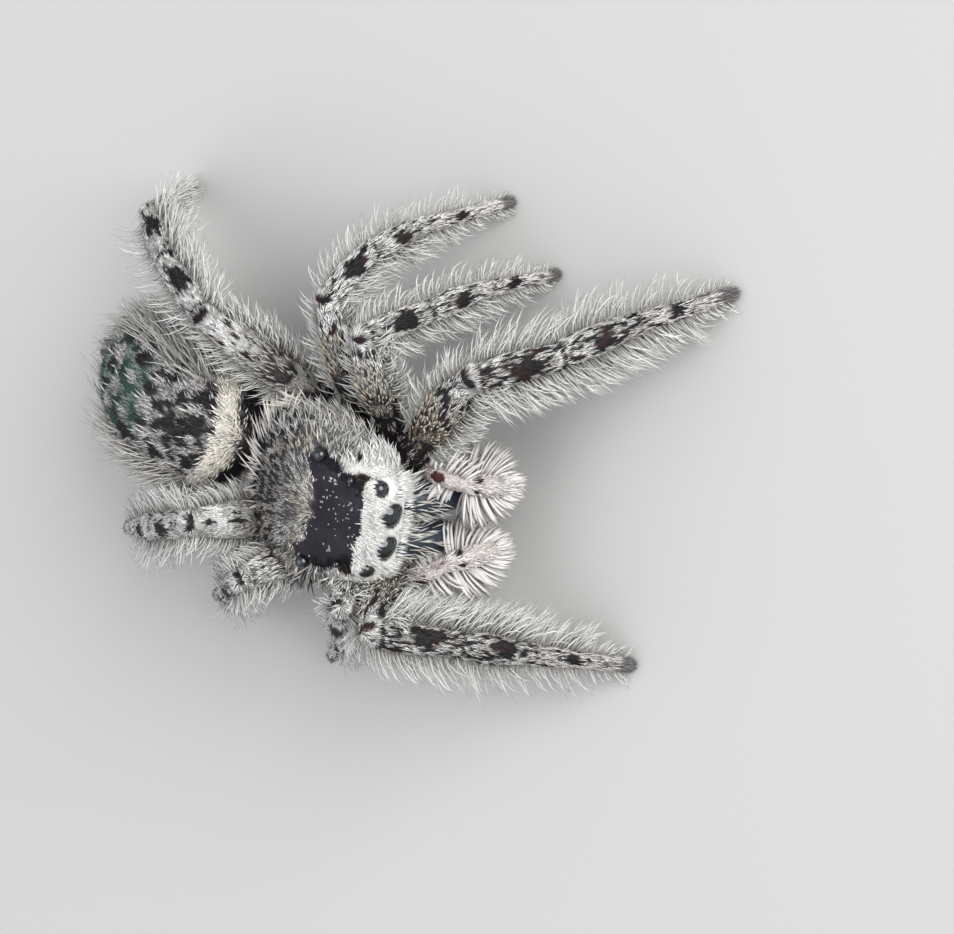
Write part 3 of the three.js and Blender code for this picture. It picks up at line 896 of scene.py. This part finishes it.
def hairs(roots, unwrap, random, *, length, width, lift, lie, rise=None, curl=0.0, base=None, tip=None,
          shade=(0.8, 1.1), segments=1, stray=10.0, uneven=0.25, sink=0.02):
    """Hairs at roots: lift and curl in degrees, lie a direction along the skin.

    They are lifted off the skin, or toward rise where it is given. Without colours for its base
    and tip, a hair takes shades of the marking's colour where it shows.
    """
    n = len(roots.t)
    rise = roots.normal if rise is None else unit(rise)
    lie = np.broadcast_to(lie, (n, 3))
    lie = unit(lie - dot(lie, rise)[:, None] * rise)
    turn = np.radians(stray) * random.standard_normal(n)
    lie = np.cos(turn)[:, None] * lie + np.sin(turn)[:, None] * np.cross(rise, lie)
    lift = np.radians(np.broadcast_to(lift, n) + 0.5 * stray * random.standard_normal(n))
    length = np.broadcast_to(length, n) * (1 + uneven * random.uniform(-1, 1, n))
    width = np.broadcast_to(width, n) * (1 + WIDTH_SPREAD * random.uniform(-1, 1, n))
    curl = np.radians(np.broadcast_to(curl, n)) * random.uniform(*CURL_SPREAD, n)
    points = [roots.place - sink * roots.normal]
    for j in range(segments):
        a = lift - curl * (j + 0.5) / segments
        step = np.cos(a)[:, None] * lie + np.sin(a)[:, None] * rise
        points.append(points[-1] + (length / segments)[:, None] * step)
    points = np.stack(points, 1)
    points[:, :, 2] = np.maximum(points[:, :, 2], FLOOR_GAP)
    if base is None:
        shown = points[:, 0] + SHOWN * (points[:, -1] - points[:, 0])
        t, angle, _ = roots.form.locate(shown)
        colour = marks_of(roots.form, shown, t, angle).hair
        base, tip = colour * shade[0], colour * shade[1]
    base, tip = np.broadcast_to(base, (n, 3)), np.broadcast_to(tip, (n, 3))
    share = np.linspace(0, 1, segments + 1)[None, :, None]
    tints = base[:, None] * (1 - share) + tip[:, None] * share
    tints = tints * (1 + TINT_SPREAD * random.uniform(-1, 1, n))[:, None, None]
    return SimpleNamespace(points=points, width=width, tints=tints, unwrap=unwrap(roots),
                           normal=roots.normal)


def clear_of_eyes(made, trunk, on_head):
    """Drops hairs that would run through an eye, and those of the head that hang before a front eye."""
    halfway = (made.points[:, :-1] + made.points[:, 1:]) / 2
    along = np.concatenate([made.points, halfway], 1)
    place = trunk.into(along.reshape(-1, 3))
    clear = eye_gap(place) > 0
    if on_head:
        clear &= ~before_eyes(place)
    return pick(made, clear.reshape(len(along), -1).all(1))


def hair_geometry(made, random):
    """Vertices, triangles, tints and UV places of solid three-sided hairs."""
    n, rings, _ = made.points.shape
    steps = made.points[:, 1:] - made.points[:, :-1]
    directions = unit(np.concatenate([steps[:, :1], steps], 1))
    side = unit(np.cross(directions, made.normal[:, None] + 0.01))
    above = np.cross(side, directions)
    roll = random.uniform(0, 2 * math.pi, n)
    half = 0.5 * made.width[:, None, None] * np.array(TAPERS[rings])[None, :, None]
    corners = []
    for k in range(3):
        a = roll + k * 2 * math.pi / 3
        offset = np.cos(a)[:, None, None] * side[:, :-1] + np.sin(a)[:, None, None] * above[:, :-1]
        corners.append(made.points[:, :-1] + half * offset)
    body = np.stack(corners, 2).reshape(n, -1, 3)
    points = np.concatenate([body, made.points[:, -1:]], 1)
    per_hair = points.shape[1]
    faces = [(2, 1, 0)]
    for ring in range(rings - 2):
        for k in range(3):
            a, b = 3 * ring + k, 3 * ring + (k + 1) % 3
            faces += [(a, b, b + 3), (a, b + 3, a + 3)]
    last = 3 * (rings - 2)
    faces += [(last + k, last + (k + 1) % 3, per_hair - 1) for k in range(3)]
    faces = np.array(faces)[None] + (np.arange(n) * per_hair)[:, None, None]
    tints = np.concatenate([np.repeat(made.tints[:, :-1], 3, axis=1), made.tints[:, -1:]], 1)
    along = np.append(np.repeat(np.arange(rings - 1) / (rings - 1), 3), 1.0)
    around = np.append(np.tile([0.0, 0.5, 1.0], rings - 1), 0.5)
    patch = made.unwrap[:, None] + PATCH * np.column_stack([around, along])[None]
    return points.reshape(-1, 3), faces.reshape(-1, 3), tints.reshape(-1, 3), patch.reshape(-1, 2)


def coat_piece(name, coat, seed):
    """One mesh of all the hairs of a coat."""
    random = np.random.default_rng(seed)
    parts, start = [], 0
    for made in coat.layers:
        if len(made.width):
            points, faces, tints, patch = hair_geometry(made, random)
            parts.append((points, faces + start, tints, patch))
            start += len(points)
    points, faces, tints, patch = (np.concatenate([part[k] for part in parts]) for k in range(4))
    mesh = bpy.data.meshes.new(name)
    mesh.vertices.add(len(points))
    mesh.vertices.foreach_set("co", (points * MM).astype(np.float32).ravel())
    mesh.loops.add(faces.size)
    mesh.loops.foreach_set("vertex_index", faces.astype(np.int32).ravel())
    mesh.polygons.add(len(faces))
    mesh.polygons.foreach_set("loop_start", np.arange(0, faces.size, 3, dtype=np.int32))
    mesh.update(calc_edges=True)
    set_tint(mesh, tints, HAIR_ROUGHNESS)
    uv = mesh.uv_layers.new(name="OFBake")
    uv.data.foreach_set("uv", patch[faces.ravel()].astype(np.float32).ravel())
    shade_smooth(mesh)
    piece = placed(name, mesh)
    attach(piece, "root")
    mesh.materials.append(hair_material())


def unwrap_of(forms):
    """An unwrap of some forms: a cell of the map for each, along it and around it."""
    columns = math.ceil(math.sqrt(len(forms)))
    rows = math.ceil(len(forms) / columns)
    cells = {form.name: (i % columns, i // columns) for i, form in enumerate(forms)}

    def unwrap(roots):
        column, row = cells[roots.form.name]
        t = (roots.t - roots.form.low) / (roots.form.high - roots.form.low)
        inside = np.column_stack([(roots.angle / (2 * math.pi)) % 1, t])
        size = np.array([1 / columns, 1 / rows])
        return (np.array([column, row]) + inside) * size * (1 - 2 * MAP_MARGIN - PATCH) + MAP_MARGIN

    return unwrap


# ---- Materials ---------------------------------------------------------------------------------


def new_material(name):
    material = bpy.data.materials.new(name)
    material.use_nodes = True
    tree = material.node_tree
    return material, tree, tree.nodes["Principled BSDF"]


def noise(tree, size, detail=3.0):
    """Noise with features of a size in mm, over the object's own coordinates."""
    place = tree.nodes.new("ShaderNodeTexCoord")
    texture = tree.nodes.new("ShaderNodeTexNoise")
    texture.inputs["Scale"].default_value = 1 / (size * MM)
    texture.inputs["Detail"].default_value = detail
    tree.links.new(place.outputs["Object"], texture.inputs["Vector"])
    return texture


def bump(tree, shader, texture, height, strength=1.0):
    """Noise as bumps of a height in mm."""
    node = tree.nodes.new("ShaderNodeBump")
    node.inputs["Strength"].default_value = strength
    node.inputs["Distance"].default_value = height * MM
    tree.links.new(texture.outputs["Fac"], node.inputs["Height"])
    tree.links.new(node.outputs["Normal"], shader.inputs["Normal"])


def tinted(tree, shader, texture, low, high):
    """The vertex tint, varied by noise from low to high, as the shader's colour and roughness."""
    tint = tree.nodes.new("ShaderNodeAttribute")
    tint.attribute_name = "Tint"
    spread_node = tree.nodes.new("ShaderNodeMapRange")
    spread_node.inputs["To Min"].default_value = low
    spread_node.inputs["To Max"].default_value = high
    times = tree.nodes.new("ShaderNodeVectorMath")
    times.operation = "SCALE"
    tree.links.new(texture.outputs["Fac"], spread_node.inputs["Value"])
    tree.links.new(tint.outputs["Color"], times.inputs[0])
    tree.links.new(spread_node.outputs["Result"], times.inputs["Scale"])
    tree.links.new(times.outputs["Vector"], shader.inputs["Base Color"])
    tree.links.new(tint.outputs["Alpha"], shader.inputs["Roughness"])


def ramped(tree, shader, texture, colours):
    """Noise between two colours, as the shader's colour."""
    ramp = tree.nodes.new("ShaderNodeValToRGB")
    for element, colour in zip(ramp.color_ramp.elements, colours):
        element.color = colour
    tree.links.new(texture.outputs["Fac"], ramp.inputs["Fac"])
    tree.links.new(ramp.outputs["Color"], shader.inputs["Base Color"])


def hair_material():
    """One material, made once for all the coat."""
    if "hair" in bpy.data.materials:
        return bpy.data.materials["hair"]
    material, tree, shader = new_material("hair")
    tinted(tree, shader, noise(tree, 0.05), 0.85, 1.15)
    shader.inputs["Specular IOR Level"].default_value = 0.2
    return material


def skin_material():
    material, tree, shader = new_material("skin")
    tinted(tree, shader, noise(tree, 0.03, 5.0), 0.55, 1.45)
    bump(tree, shader, noise(tree, 0.06, 4.0), 0.02, 0.8)
    shader.inputs["Specular IOR Level"].default_value = 0.07
    return material


def eye_material():
    material, tree, shader = new_material("eye")
    ramped(tree, shader, noise(tree, 0.2), EYE_COLOURS)
    shader.inputs["Roughness"].default_value = 0.05
    shader.inputs["IOR"].default_value = 1.6
    shader.inputs["Specular IOR Level"].default_value = 0.6
    return material


def horn_material():
    material, tree, shader = new_material("horn")
    ramped(tree, shader, noise(tree, 0.15, 4.0), HORN_COLOURS)
    bump(tree, shader, noise(tree, 0.05), 0.01, 0.6)
    shader.inputs["Roughness"].default_value = 0.35
    return material


# ---- The coat's layers -------------------------------------------------------------------------

CLEAR_OF_EYE = 0.02   # no hair is rooted nearer to an eye


class Coat:
    """Layers of hair on some forms, which keep clear of the other forms and of the eyes."""

    def __init__(self, trunk, own, forms):
        self.trunk, self.forms = trunk, forms
        self.unwrap, self.layers = unwrap_of(own), []
        self.on_head = own[0].kind == "carapace"

    def add(self, form, seed, per_mm2, chance, stretch=None, **style):
        """One layer: chance thins its roots out, and style goes to hairs().

        Chance and each value of style are numbers, or functions of the roots.
        """
        random = np.random.default_rng(seed)
        roots = roots_on(form, per_mm2, seed, stretch)
        if not len(roots.t):
            return
        axes = form.axes if isinstance(form, Loft) else self.trunk
        roots.at = axes.into(roots.place)
        roots.ahead, roots.left, roots.up = roots.at.T
        roots.side = np.abs(roots.left)
        roots.turn = np.degrees(np.abs(roots.angle))
        roots.marks = marks_of(form, roots.place, roots.t, roots.angle)
        keep = random.random(len(roots.t)) < (chance(roots) if callable(chance) else chance)
        keep &= outside(roots, self.forms) & (eye_gap(self.trunk.into(roots.place)) > CLEAR_OF_EYE)
        roots = pick(roots, keep)
        if len(roots.t):
            style = {name: value(roots) if callable(value) else value for name, value in style.items()}
            made = hairs(roots, self.unwrap, random, **style)
            self.layers.append(clear_of_eyes(made, self.trunk, self.on_head))


def away_from(axes, centre, sink):
    """A direction of hair: away from a centre (ahead, left), and down by a share."""
    def lie(roots):
        down = np.full(len(roots.at), -sink)
        return axes.vector(np.column_stack([roots.ahead - centre[0], roots.left - centre[1], down]))
    return lie


def carapace_coat(trunk, carapace, forms):
    """Short flat strokes, pale specks on the bare field, and long hairs at the rear and the sides."""
    coat = Coat(trunk, [carapace], forms)
    outward = away_from(trunk, (0.9, 0.0), 0.35)

    def around(r):
        """1 at the rear and the sides of the back."""
        out = ease(1.25, 1.45, np.hypot(0.9 * (r.ahead - 0.2), r.left))
        return out * (1 - r.marks.face) * (r.up > 0.6)

    def specks(r):
        """A few on the field, and many where the marks have a spot."""
        few = 0.17 * (patches(r.at, 0.16, 8) > 0.50)
        return r.marks.field * np.where(r.marks.spot > 0.3, 1.0, few)

    def spikes(r):
        """1 on the rear slope and where it meets the sides."""
        slope = ease(-0.84, -1.02, r.ahead) * (r.up > 0.75)
        corner = ease(-0.2, -0.5, r.ahead) * ease(1.35, 1.5, r.side) * (r.up > 0.3)
        return np.maximum(slope, 0.6 * corner)

    def rim(r):
        """1 low down on the sides."""
        beside = 0.3 * ease(1.15, 1.35, r.side) + 0.7 * ease(1.42, 1.66, r.side)
        return beside * ease(1.5, 0.8, r.ahead) * ease(-0.6, -0.1, r.ahead) * (r.up > 0.1)

    def bristles(r):
        """A small black tuft on the right, beside the rear eye."""
        return hump(0, 0.17, np.hypot(r.ahead - 0.62, r.left + 1.48)) > 0.1

    coat.add(carapace, 101, 1150, lambda r: (1 - r.marks.field) * (1 - r.marks.face) + r.marks.black,
             length=lambda r: 0.13 + 0.06 * ease(0, -1.5, r.ahead), width=0.028, lift=17, curl=8,
             lie=outward, stray=20)
    coat.add(carapace, 102, 150, around, length=0.26, width=0.030, lift=24, curl=14, segments=2,
             lie=outward, stray=18)
    coat.add(carapace, 103, 300, specks,
             length=0.055, width=lambda r: 0.062 + 0.04 * (r.marks.spot > 0.3), lift=8,
             lie=trunk.vector((1, 0.5, 0)), stray=60, uneven=0.5, sink=0.004, base=PALE * 0.45,
             tip=lambda r: PALE * (0.45 + 0.2 * (r.marks.spot > 0.3)[:, None]))
    coat.add(carapace, 104, 74, spikes, length=0.74, width=0.046, lift=20, curl=8, segments=3, stray=14,
             uneven=0.4, base=GREY * 1.1, tip=mix(WHITE, CREAM, 0.4), lie=away_from(trunk, (0.3, 0.0), 0.0))
    coat.add(carapace, 105, 170, rim, length=0.42, width=0.030, lift=32, curl=22, segments=3, stray=24,
             uneven=0.45, base=GREY * 0.7, tip=PALE * 0.95, lie=away_from(trunk, (1.2, 0.0), 0.1))
    coat.add(carapace, 106, 130, bristles, length=0.62, width=0.042, lift=40, curl=34, segments=3, stray=8,
             base=BLACK, tip=SOOT, lie=away_from(trunk, (1.2, 0.0), 0.9))
    return coat


def face_coat(trunk, carapace, jaws, sockets, forms):
    """Dense white hair on the face and cheeks, brows over the front eyes and a fringe over the jaws."""
    coat = Coat(trunk, [carapace, *jaws, *sockets], forms)
    outward = away_from(trunk, (1.6, 0.0), 0.0)
    white = {"base": WHITE * 0.74, "tip": WHITE * 0.86}

    def brows(r):
        near = ease(0.40, 0.24, eye_gap(r.at)) * (r.ahead > 1.50) * (r.up > 0.95)
        return near * r.marks.face * (1 - r.marks.tuft)

    def cheeks(r):
        return r.marks.face * (1 - r.marks.black) * ease(1.15, 1.35, r.side) * (r.up > 0.15)

    def fringe(middle, half):
        """1 across the front of the face at a height."""
        return lambda r: ease(1.95, 2.10, r.ahead) * hump(middle, half, r.up)

    coat.add(carapace, 111, 2600, lambda r: ease(0.15, 0.6, r.marks.face) * (r.up > -0.05),
             length=0.16, width=0.030, lift=15, curl=6, stray=18, shade=(0.92, 1.08),
             lie=away_from(trunk, (1.2, 0.0), 1.0))
    coat.add(carapace, 112, 1700, brows, length=0.24, width=0.030, lift=16, curl=8, segments=2, stray=10,
             uneven=0.4, lie=trunk.vector((1, 0, 0)), **white)
    coat.add(carapace, 113, 1500, fringe(0.62, 0.42), length=0.24, width=0.032, lift=50, curl=16,
             segments=2, stray=12, lie=trunk.vector((0.2, 0, -1)), **white)
    coat.add(carapace, 114, 170, fringe(0.36, 0.34), length=0.50, width=0.044, lift=52, curl=18,
             segments=3, stray=12, base=GREY, tip=WHITE * 0.75,
             lie=lambda r: trunk.vector((0.3, 0, -1)) + 0.5 * outward(r))
    coat.add(carapace, 115, 420, cheeks, length=0.28, width=0.034, lift=36, curl=20, segments=2, stray=20,
             uneven=0.4, base=WHITE * 0.70, tip=WHITE * 0.84, lie=outward)
    for number, socket in enumerate(sockets):
        coat.add(socket, 120 + number, 1900, lambda r: ease(125, 95, r.turn) * (r.t > 0.2),
                 length=0.24 if "middle" in socket.name else 0.17, width=0.030, lift=9, curl=4, segments=2,
                 stray=10, lie=socket.axis, **white)
    for number, jaw in enumerate(jaws):
        coat.add(jaw, 116 + number, 80, lambda r: ease(100, 60, r.turn) * ease(0.75, 0.30, r.t), (0.0, 0.8),
                 length=0.34, width=0.036, lift=34, curl=14, segments=2, stray=14, base=GREY, tip=PALE,
                 lie=lambda r: jaw.flow(r.t))
    return coat


def abdomen_coat(trunk, tail, abdomen, forms):
    """Flat marked hair on the back, a pale band in front and long pale hair on the sides."""
    coat = Coat(trunk, [abdomen], forms)

    def back(r):
        """Backward, and a little outward and down."""
        rows = len(r.at)
        return tail.vector(np.column_stack([np.full(rows, -1.0), 0.25 * r.left, np.full(rows, -0.1)]))

    def sides(r):
        low = ease(0.85, 1.25, r.side + 0.9 * ease(0.5, -0.2, r.up)) * (r.ahead < -0.3)
        return low * (1 - 0.85 * r.marks.band * (r.up > 0.3)) * (1 - r.marks.front)

    # Over that painted shade at the front, marks.front keeps the flat hair thin and the band and side hair
    # away.
    coat.add(abdomen, 201, 720, lambda r: 1 - 0.4 * r.marks.front,
             length=0.16, width=0.036, lift=16, curl=10, lie=back, stray=22)
    coat.add(abdomen, 202, 130, sides, length=0.95, width=0.030, lift=36, curl=30, segments=3, stray=15,
             lie=back, base=PALE * 0.45, tip=PALE * 0.95)
    coat.add(abdomen, 203, 480, lambda r: r.marks.band * (r.up > 0.1) * (1 - r.marks.front),
             length=0.17, width=0.038, lift=24, curl=12, segments=2, stray=16, lie=back,
             base=mix(CREAM, WHITE, 0.3), tip=mix(CREAM, WHITE, 0.6) * 1.1)
    coat.add(abdomen, 204, 45, lambda r: r.marks.back * (r.marks.hair.mean(1) > 0.4),
             length=0.30, width=0.040, lift=18, curl=12, segments=2, stray=14, lie=back,
             base=PALE * 0.7, tip=WHITE * 0.7)
    return coat


FRINGE = (0.80, 0.60, 0.60, 0.70)   # length of the long hairs on each pair of legs
LONG_SHARE = {"femur": 0.75, "patella": 1.0, "tibia": 1.0, "metatarsus": 0.85, "tarsus": 0.45}
BARE_HIP = 0.10                     # the first share of the femur, which has no long hairs


def leg_coat(trunk, limbs, forms):
    """Flat streaky hair, long hairs out to the sides, and a dense fringe under the first legs."""
    coat = Coat(trunk, limbs, forms)
    for index, limb in enumerate(limbs):
        seed = 1000 + 100 * limb.pair + 10 * index + (limb.side > 0) * 7
        reach = FRINGE[limb.pair - 1] * LONG_SHARE.get(limb.kind, 0)
        on_femur = limb.kind == "femur"

        def flow(r):
            return limb.flow(r.t)

        def cover(r):
            """Flat hair, thinner beside the hip."""
            return 1 - 0.2 * ease(0.30, 0.05, r.t) * on_femur

        coat.add(limb, seed + 1, 950, 0.6 if limb.kind == "coxa" else cover,
                 length=0.16, width=0.028, lift=13, curl=8, lie=flow, stray=13)
        if limb.kind == "coxa":
            continue
        coat.add(limb, seed + 2, 190 if limb.pair == 1 else 210,
                 lambda r: ease(58, 84, r.turn) * (r.t < 0.97) * (r.t > BARE_HIP * on_femur),
                 length=reach, width=0.030, lift=74, curl=52, lie=flow, segments=3, stray=14, uneven=0.4,
                 base=PALE * 0.62, tip=WHITE * 0.8)
        if limb.pair == 1 and limb.kind in ("patella", "tibia", "metatarsus"):
            coat.add(limb, seed + 3, 800,
                     lambda r: hump(128, 46, r.marks.turn) * ease(0.04, 0.12, r.t) * (r.t < 1),
                     length=reach * 1.1, width=0.028, lift=72, curl=34, lie=flow, segments=3, stray=8,
                     base=PALE * 0.8, tip=WHITE * 0.82)
        if on_femur:
            strand = PALE * 0.85 if limb.pair == 4 else TAN * 0.95
            coat.add(limb, seed + 4, 110, lambda r: ease(90, 50, r.turn) * hump(0.46, 0.36, r.t),
                     length=0.27, width=0.040, lift=26, curl=16, lie=flow, segments=2, stray=16,
                     base=strand * 0.2, tip=strand)
        if limb.kind == "tarsus":
            coat.add(limb, seed + 5, 700, 1, (0.80, limb.high), length=0.17, width=0.028, lift=26, curl=10,
                     lie=flow, stray=16, base=SOOT * 1.5, tip=GREY * 1.2)
    return coat


# The locks at the sides of a palp's segments: how many for each square mm, their length, how far
# they lean off the segment at its start and its end, and the angles round it where they end.
LOCKS = {
    "palp_femur": (50, 0.24, 60, 70, 120),
    "palp_tibia": (150, 0.58, 96, 88, 120),
    "palp_tarsus": (200, 0.84, 88, 30, 175),
}


def palp_coat(trunk, limbs, forms):
    """Short flat hair on top, and thick white locks that spread to the sides like a leaf."""
    coat = Coat(trunk, limbs, forms)
    rosy = mix(PINK, WHITE, 0.6)
    for index, limb in enumerate(limbs):
        seed = 3000 + 10 * index + (limb.side > 0) * 5
        dense, length, lean, lean_end, under = LOCKS[limb.kind]
        on_tarsus = limb.kind == "palp_tarsus"

        def beside(r):
            """1 at the sides, off the bare elbow and the segment's ends."""
            across = ease(50, 72, r.turn) * ease(under, under - 20, r.turn)
            return (1 - r.marks.dark) * across * (r.t < 1.02) * (r.t > 0.12)

        def sideways(r):
            """Out to the side, nearly level with the limb's upper face."""
            return r.normal - 0.75 * dot(r.normal, limb.upper)[:, None] * limb.upper

        coat.add(limb, seed, 700,
                 lambda r: (1 - r.marks.dark) * (r.t < (0.90 if limb.kind == "palp_femur" else np.inf)),
                 length=0.10 if limb.kind == "palp_tibia" else 0.15, width=0.030, lift=12, curl=8,
                 lie=lambda r: limb.flow(r.t), stray=14)
        coat.add(limb, seed + 1, dense, beside,
                 length=lambda r: length * (1 - 0.52 * ease(0.2, 1.1, r.t) * on_tarsus), width=0.090,
                 lift=lambda r: lean + (lean_end - lean) * np.clip(r.t, 0, 1), curl=26, rise=sideways,
                 lie=limb.axis, segments=3, stray=6, uneven=0.15, base=rosy * 0.72, tip=rosy * 0.80)
        if on_tarsus:
            coat.add(limb, seed + 2, 420, lambda r: ease(0.85, 1.0, r.t), (0.8, limb.high),
                     length=0.28, width=0.056, lift=30, curl=14, lie=limb.axis, segments=2, stray=10,
                     base=rosy * 0.74, tip=rosy * 0.84)
            coat.add(limb, seed + 3, 380, lambda r: ease(85, 55, r.turn),
                     length=0.20, width=0.044, lift=15, curl=10, segments=2, stray=10, shade=(0.45, 1.1),
                     lie=lambda r: limb.axis + 0.9 * np.sin(r.angle)[:, None] * limb.front)
    return coat


# ---- Eyes and jaws -----------------------------------------------------------------------------

EYE_RINGS = 24


def ball(centre, radius):
    """A fine closed ball."""
    up = np.linspace(0, math.pi, EYE_RINGS + 1)[1:-1]
    around = np.linspace(0, 2 * math.pi, ROUND, endpoint=False)
    u, a = np.meshgrid(up, around, indexing="ij")
    shell = np.stack([np.sin(u) * np.cos(a), np.sin(u) * np.sin(a), np.cos(u)], -1).reshape(-1, 3)
    points = np.vstack([shell, [[0, 0, 1], [0, 0, -1]]]) * radius + centre
    return points, closed_faces(len(up))


def finished(name, points, faces, material, slot, *nodes):
    """A separate hard piece in metres that stands for its CAD nodes."""
    piece = mesh_object(name, points * MM, faces)
    shade_smooth(piece.data)
    piece.data.materials.append(material)
    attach(piece, "root")
    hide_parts(*nodes)
    return piece


def make_eyes(trunk):
    material = eye_material()
    for place, ((ahead, left, up), radius) in EYES.items():
        for letter, side in SIDES.items():
            points, faces = ball(trunk.out((ahead, side * left, up)), radius)
            finished(f"lens_{place}_{letter}", points, faces, material, "eye", f"eye_{place}_{letter}")


def jaw_limbs(trunk, name, spec):
    """The two forms of a jaw piece, left then right."""
    limbs = []
    for letter, side in SIDES.items():
        start, end = (trunk.out((p[0], side * p[1], p[2])) for p in (spec["base"], spec["tip"]))
        limbs.append(Limb(f"{name}_{letter}", start, end, spec["radii"], side, "horn"))
    return limbs


def make_jaws(trunk):
    material = horn_material()
    for name, spec in (("chelicera", CHELICERA), ("fang", FANG)):
        for letter, limb in zip(SIDES, jaw_limbs(trunk, name, spec)):
            points, faces = form_mesh(limb)
            finished(f"{name}_shell_{letter}", points, faces, material, "horn", f"{name}_{letter}")


# ---- Light, floor and camera -------------------------------------------------------------------

AZIMUTH, ELEVATION, ROLL = 26.55, 62.76, -97.1    # degrees
LOOK = (1.79, 0.81)      # ahead and left of the trunk's middle, on the floor
DISTANCE = 89.1
LENS, SENSOR = 161.7, 36
CLIP = (0.001, 10)       # metres
# Lights, in metres: place, size, power and colour.
LIGHTS = {
    "key": ((0.084, -0.100, 0.084), 0.16, 0.34, (0.97, 1.0, 0.99)),
    "fill": ((-0.05, 0.06, 0.16), 0.24, 0.24, (0.97, 0.98, 1.0)),
}
LIT = (0, 0, 0.002)      # where they point
SKY, SKY_STRENGTH = (0.86, 0.90, 1.0, 1), 0.74
FLOOR, FLOOR_HALF, FLOOR_ROUGHNESS = (0.42, 0.41, 0.39, 1), 0.5, 0.9


def make_camera(trunk):
    azimuth, elevation = math.radians(AZIMUTH), math.radians(ELEVATION)
    level = math.cos(elevation)
    back = Vector((math.sin(azimuth) * level, -math.cos(azimuth) * level, math.sin(elevation)))
    look = Vector((trunk.origin[0] + LOOK[1], trunk.origin[1] - LOOK[0], 0))
    data = bpy.data.cameras.new("camera")
    data.lens, data.sensor_width = LENS, SENSOR
    data.clip_start, data.clip_end = CLIP
    camera = placed("camera", data)
    camera.location = (look + back * DISTANCE) * MM
    camera.rotation_mode = "QUATERNION"
    roll = Matrix.Rotation(math.radians(ROLL), 4, "Z")
    upright = (-back).to_track_quat("-Z", "Y").to_matrix().to_4x4()
    camera.rotation_quaternion = (upright @ roll).to_quaternion()
    bpy.context.scene.camera = camera


def area_light(name, place, size, power, colour):
    data = bpy.data.lights.new(name, "AREA")
    data.shape, data.size, data.energy, data.color = "DISK", size, power, colour
    light = placed(name, data)
    light.location = place
    light.rotation_mode = "QUATERNION"
    light.rotation_quaternion = (Vector(LIT) - Vector(place)).to_track_quat("-Z", "Y")


def make_stage():
    """A plain pale floor under a soft sky and two soft lights."""
    world = bpy.data.worlds.new("studio")
    world.use_nodes = True
    sky = world.node_tree.nodes["Background"]
    sky.inputs["Color"].default_value = SKY
    sky.inputs["Strength"].default_value = SKY_STRENGTH
    bpy.context.scene.world = world
    bpy.context.scene.view_settings.view_transform = "Standard"
    for name, (place, size, power, colour) in LIGHTS.items():
        area_light(name, place, size, power, colour)
    corners = FLOOR_HALF * np.array([(-1, -1, 0), (1, -1, 0), (1, 1, 0), (-1, 1, 0)])
    floor = mesh_object("floor", corners, [(0, 1, 2, 3)])
    material, _, shader = new_material("floor")
    shader.inputs["Base Color"].default_value = FLOOR
    shader.inputs["Roughness"].default_value = FLOOR_ROUGHNESS
    floor.data.materials.append(material)


# ---- The model ---------------------------------------------------------------------------------


def main():
    trunk = trunk_axes()
    tail = tail_axes(trunk)
    carapace = Loft("carapace", trunk, CARAPACE)
    sternum = Loft("sternum", trunk, STERNUM)
    abdomen = Loft("abdomen", tail, ABDOMEN)
    legs = {leg: leg_limbs(trunk, leg) for leg in STANCE}
    palps = [limb for letter in SIDES for limb in palp_limbs(trunk, letter)]
    sockets = socket_limbs(trunk)
    forms = [carapace, sternum, abdomen, *sockets, *spinneret_limbs(tail), *palps]
    forms += itertools.chain(*legs.values())

    skin = make_skin(forms)
    skin.data.materials.append(skin_material())
    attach(skin, "root")
    flesh = [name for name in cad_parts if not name.startswith(("eye_", "chelicera_", "fang_"))]
    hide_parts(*flesh)

    jaws = jaw_limbs(trunk, "chelicera", CHELICERA)
    coat_piece("coat_carapace", carapace_coat(trunk, carapace, forms), 1)
    coat_piece("coat_face", face_coat(trunk, carapace, jaws, sockets, forms), 4)
    coat_piece("coat_abdomen", abdomen_coat(trunk, tail, abdomen, forms), 2)
    for number, (leg, limbs) in enumerate(legs.items()):
        coat_piece(f"coat_leg_{leg}", leg_coat(trunk, limbs, forms), 10 + number)
    coat_piece("coat_palps", palp_coat(trunk, palps, forms), 3)
    make_eyes(trunk)
    make_jaws(trunk)
    make_stage()
    make_camera(trunk)


main()
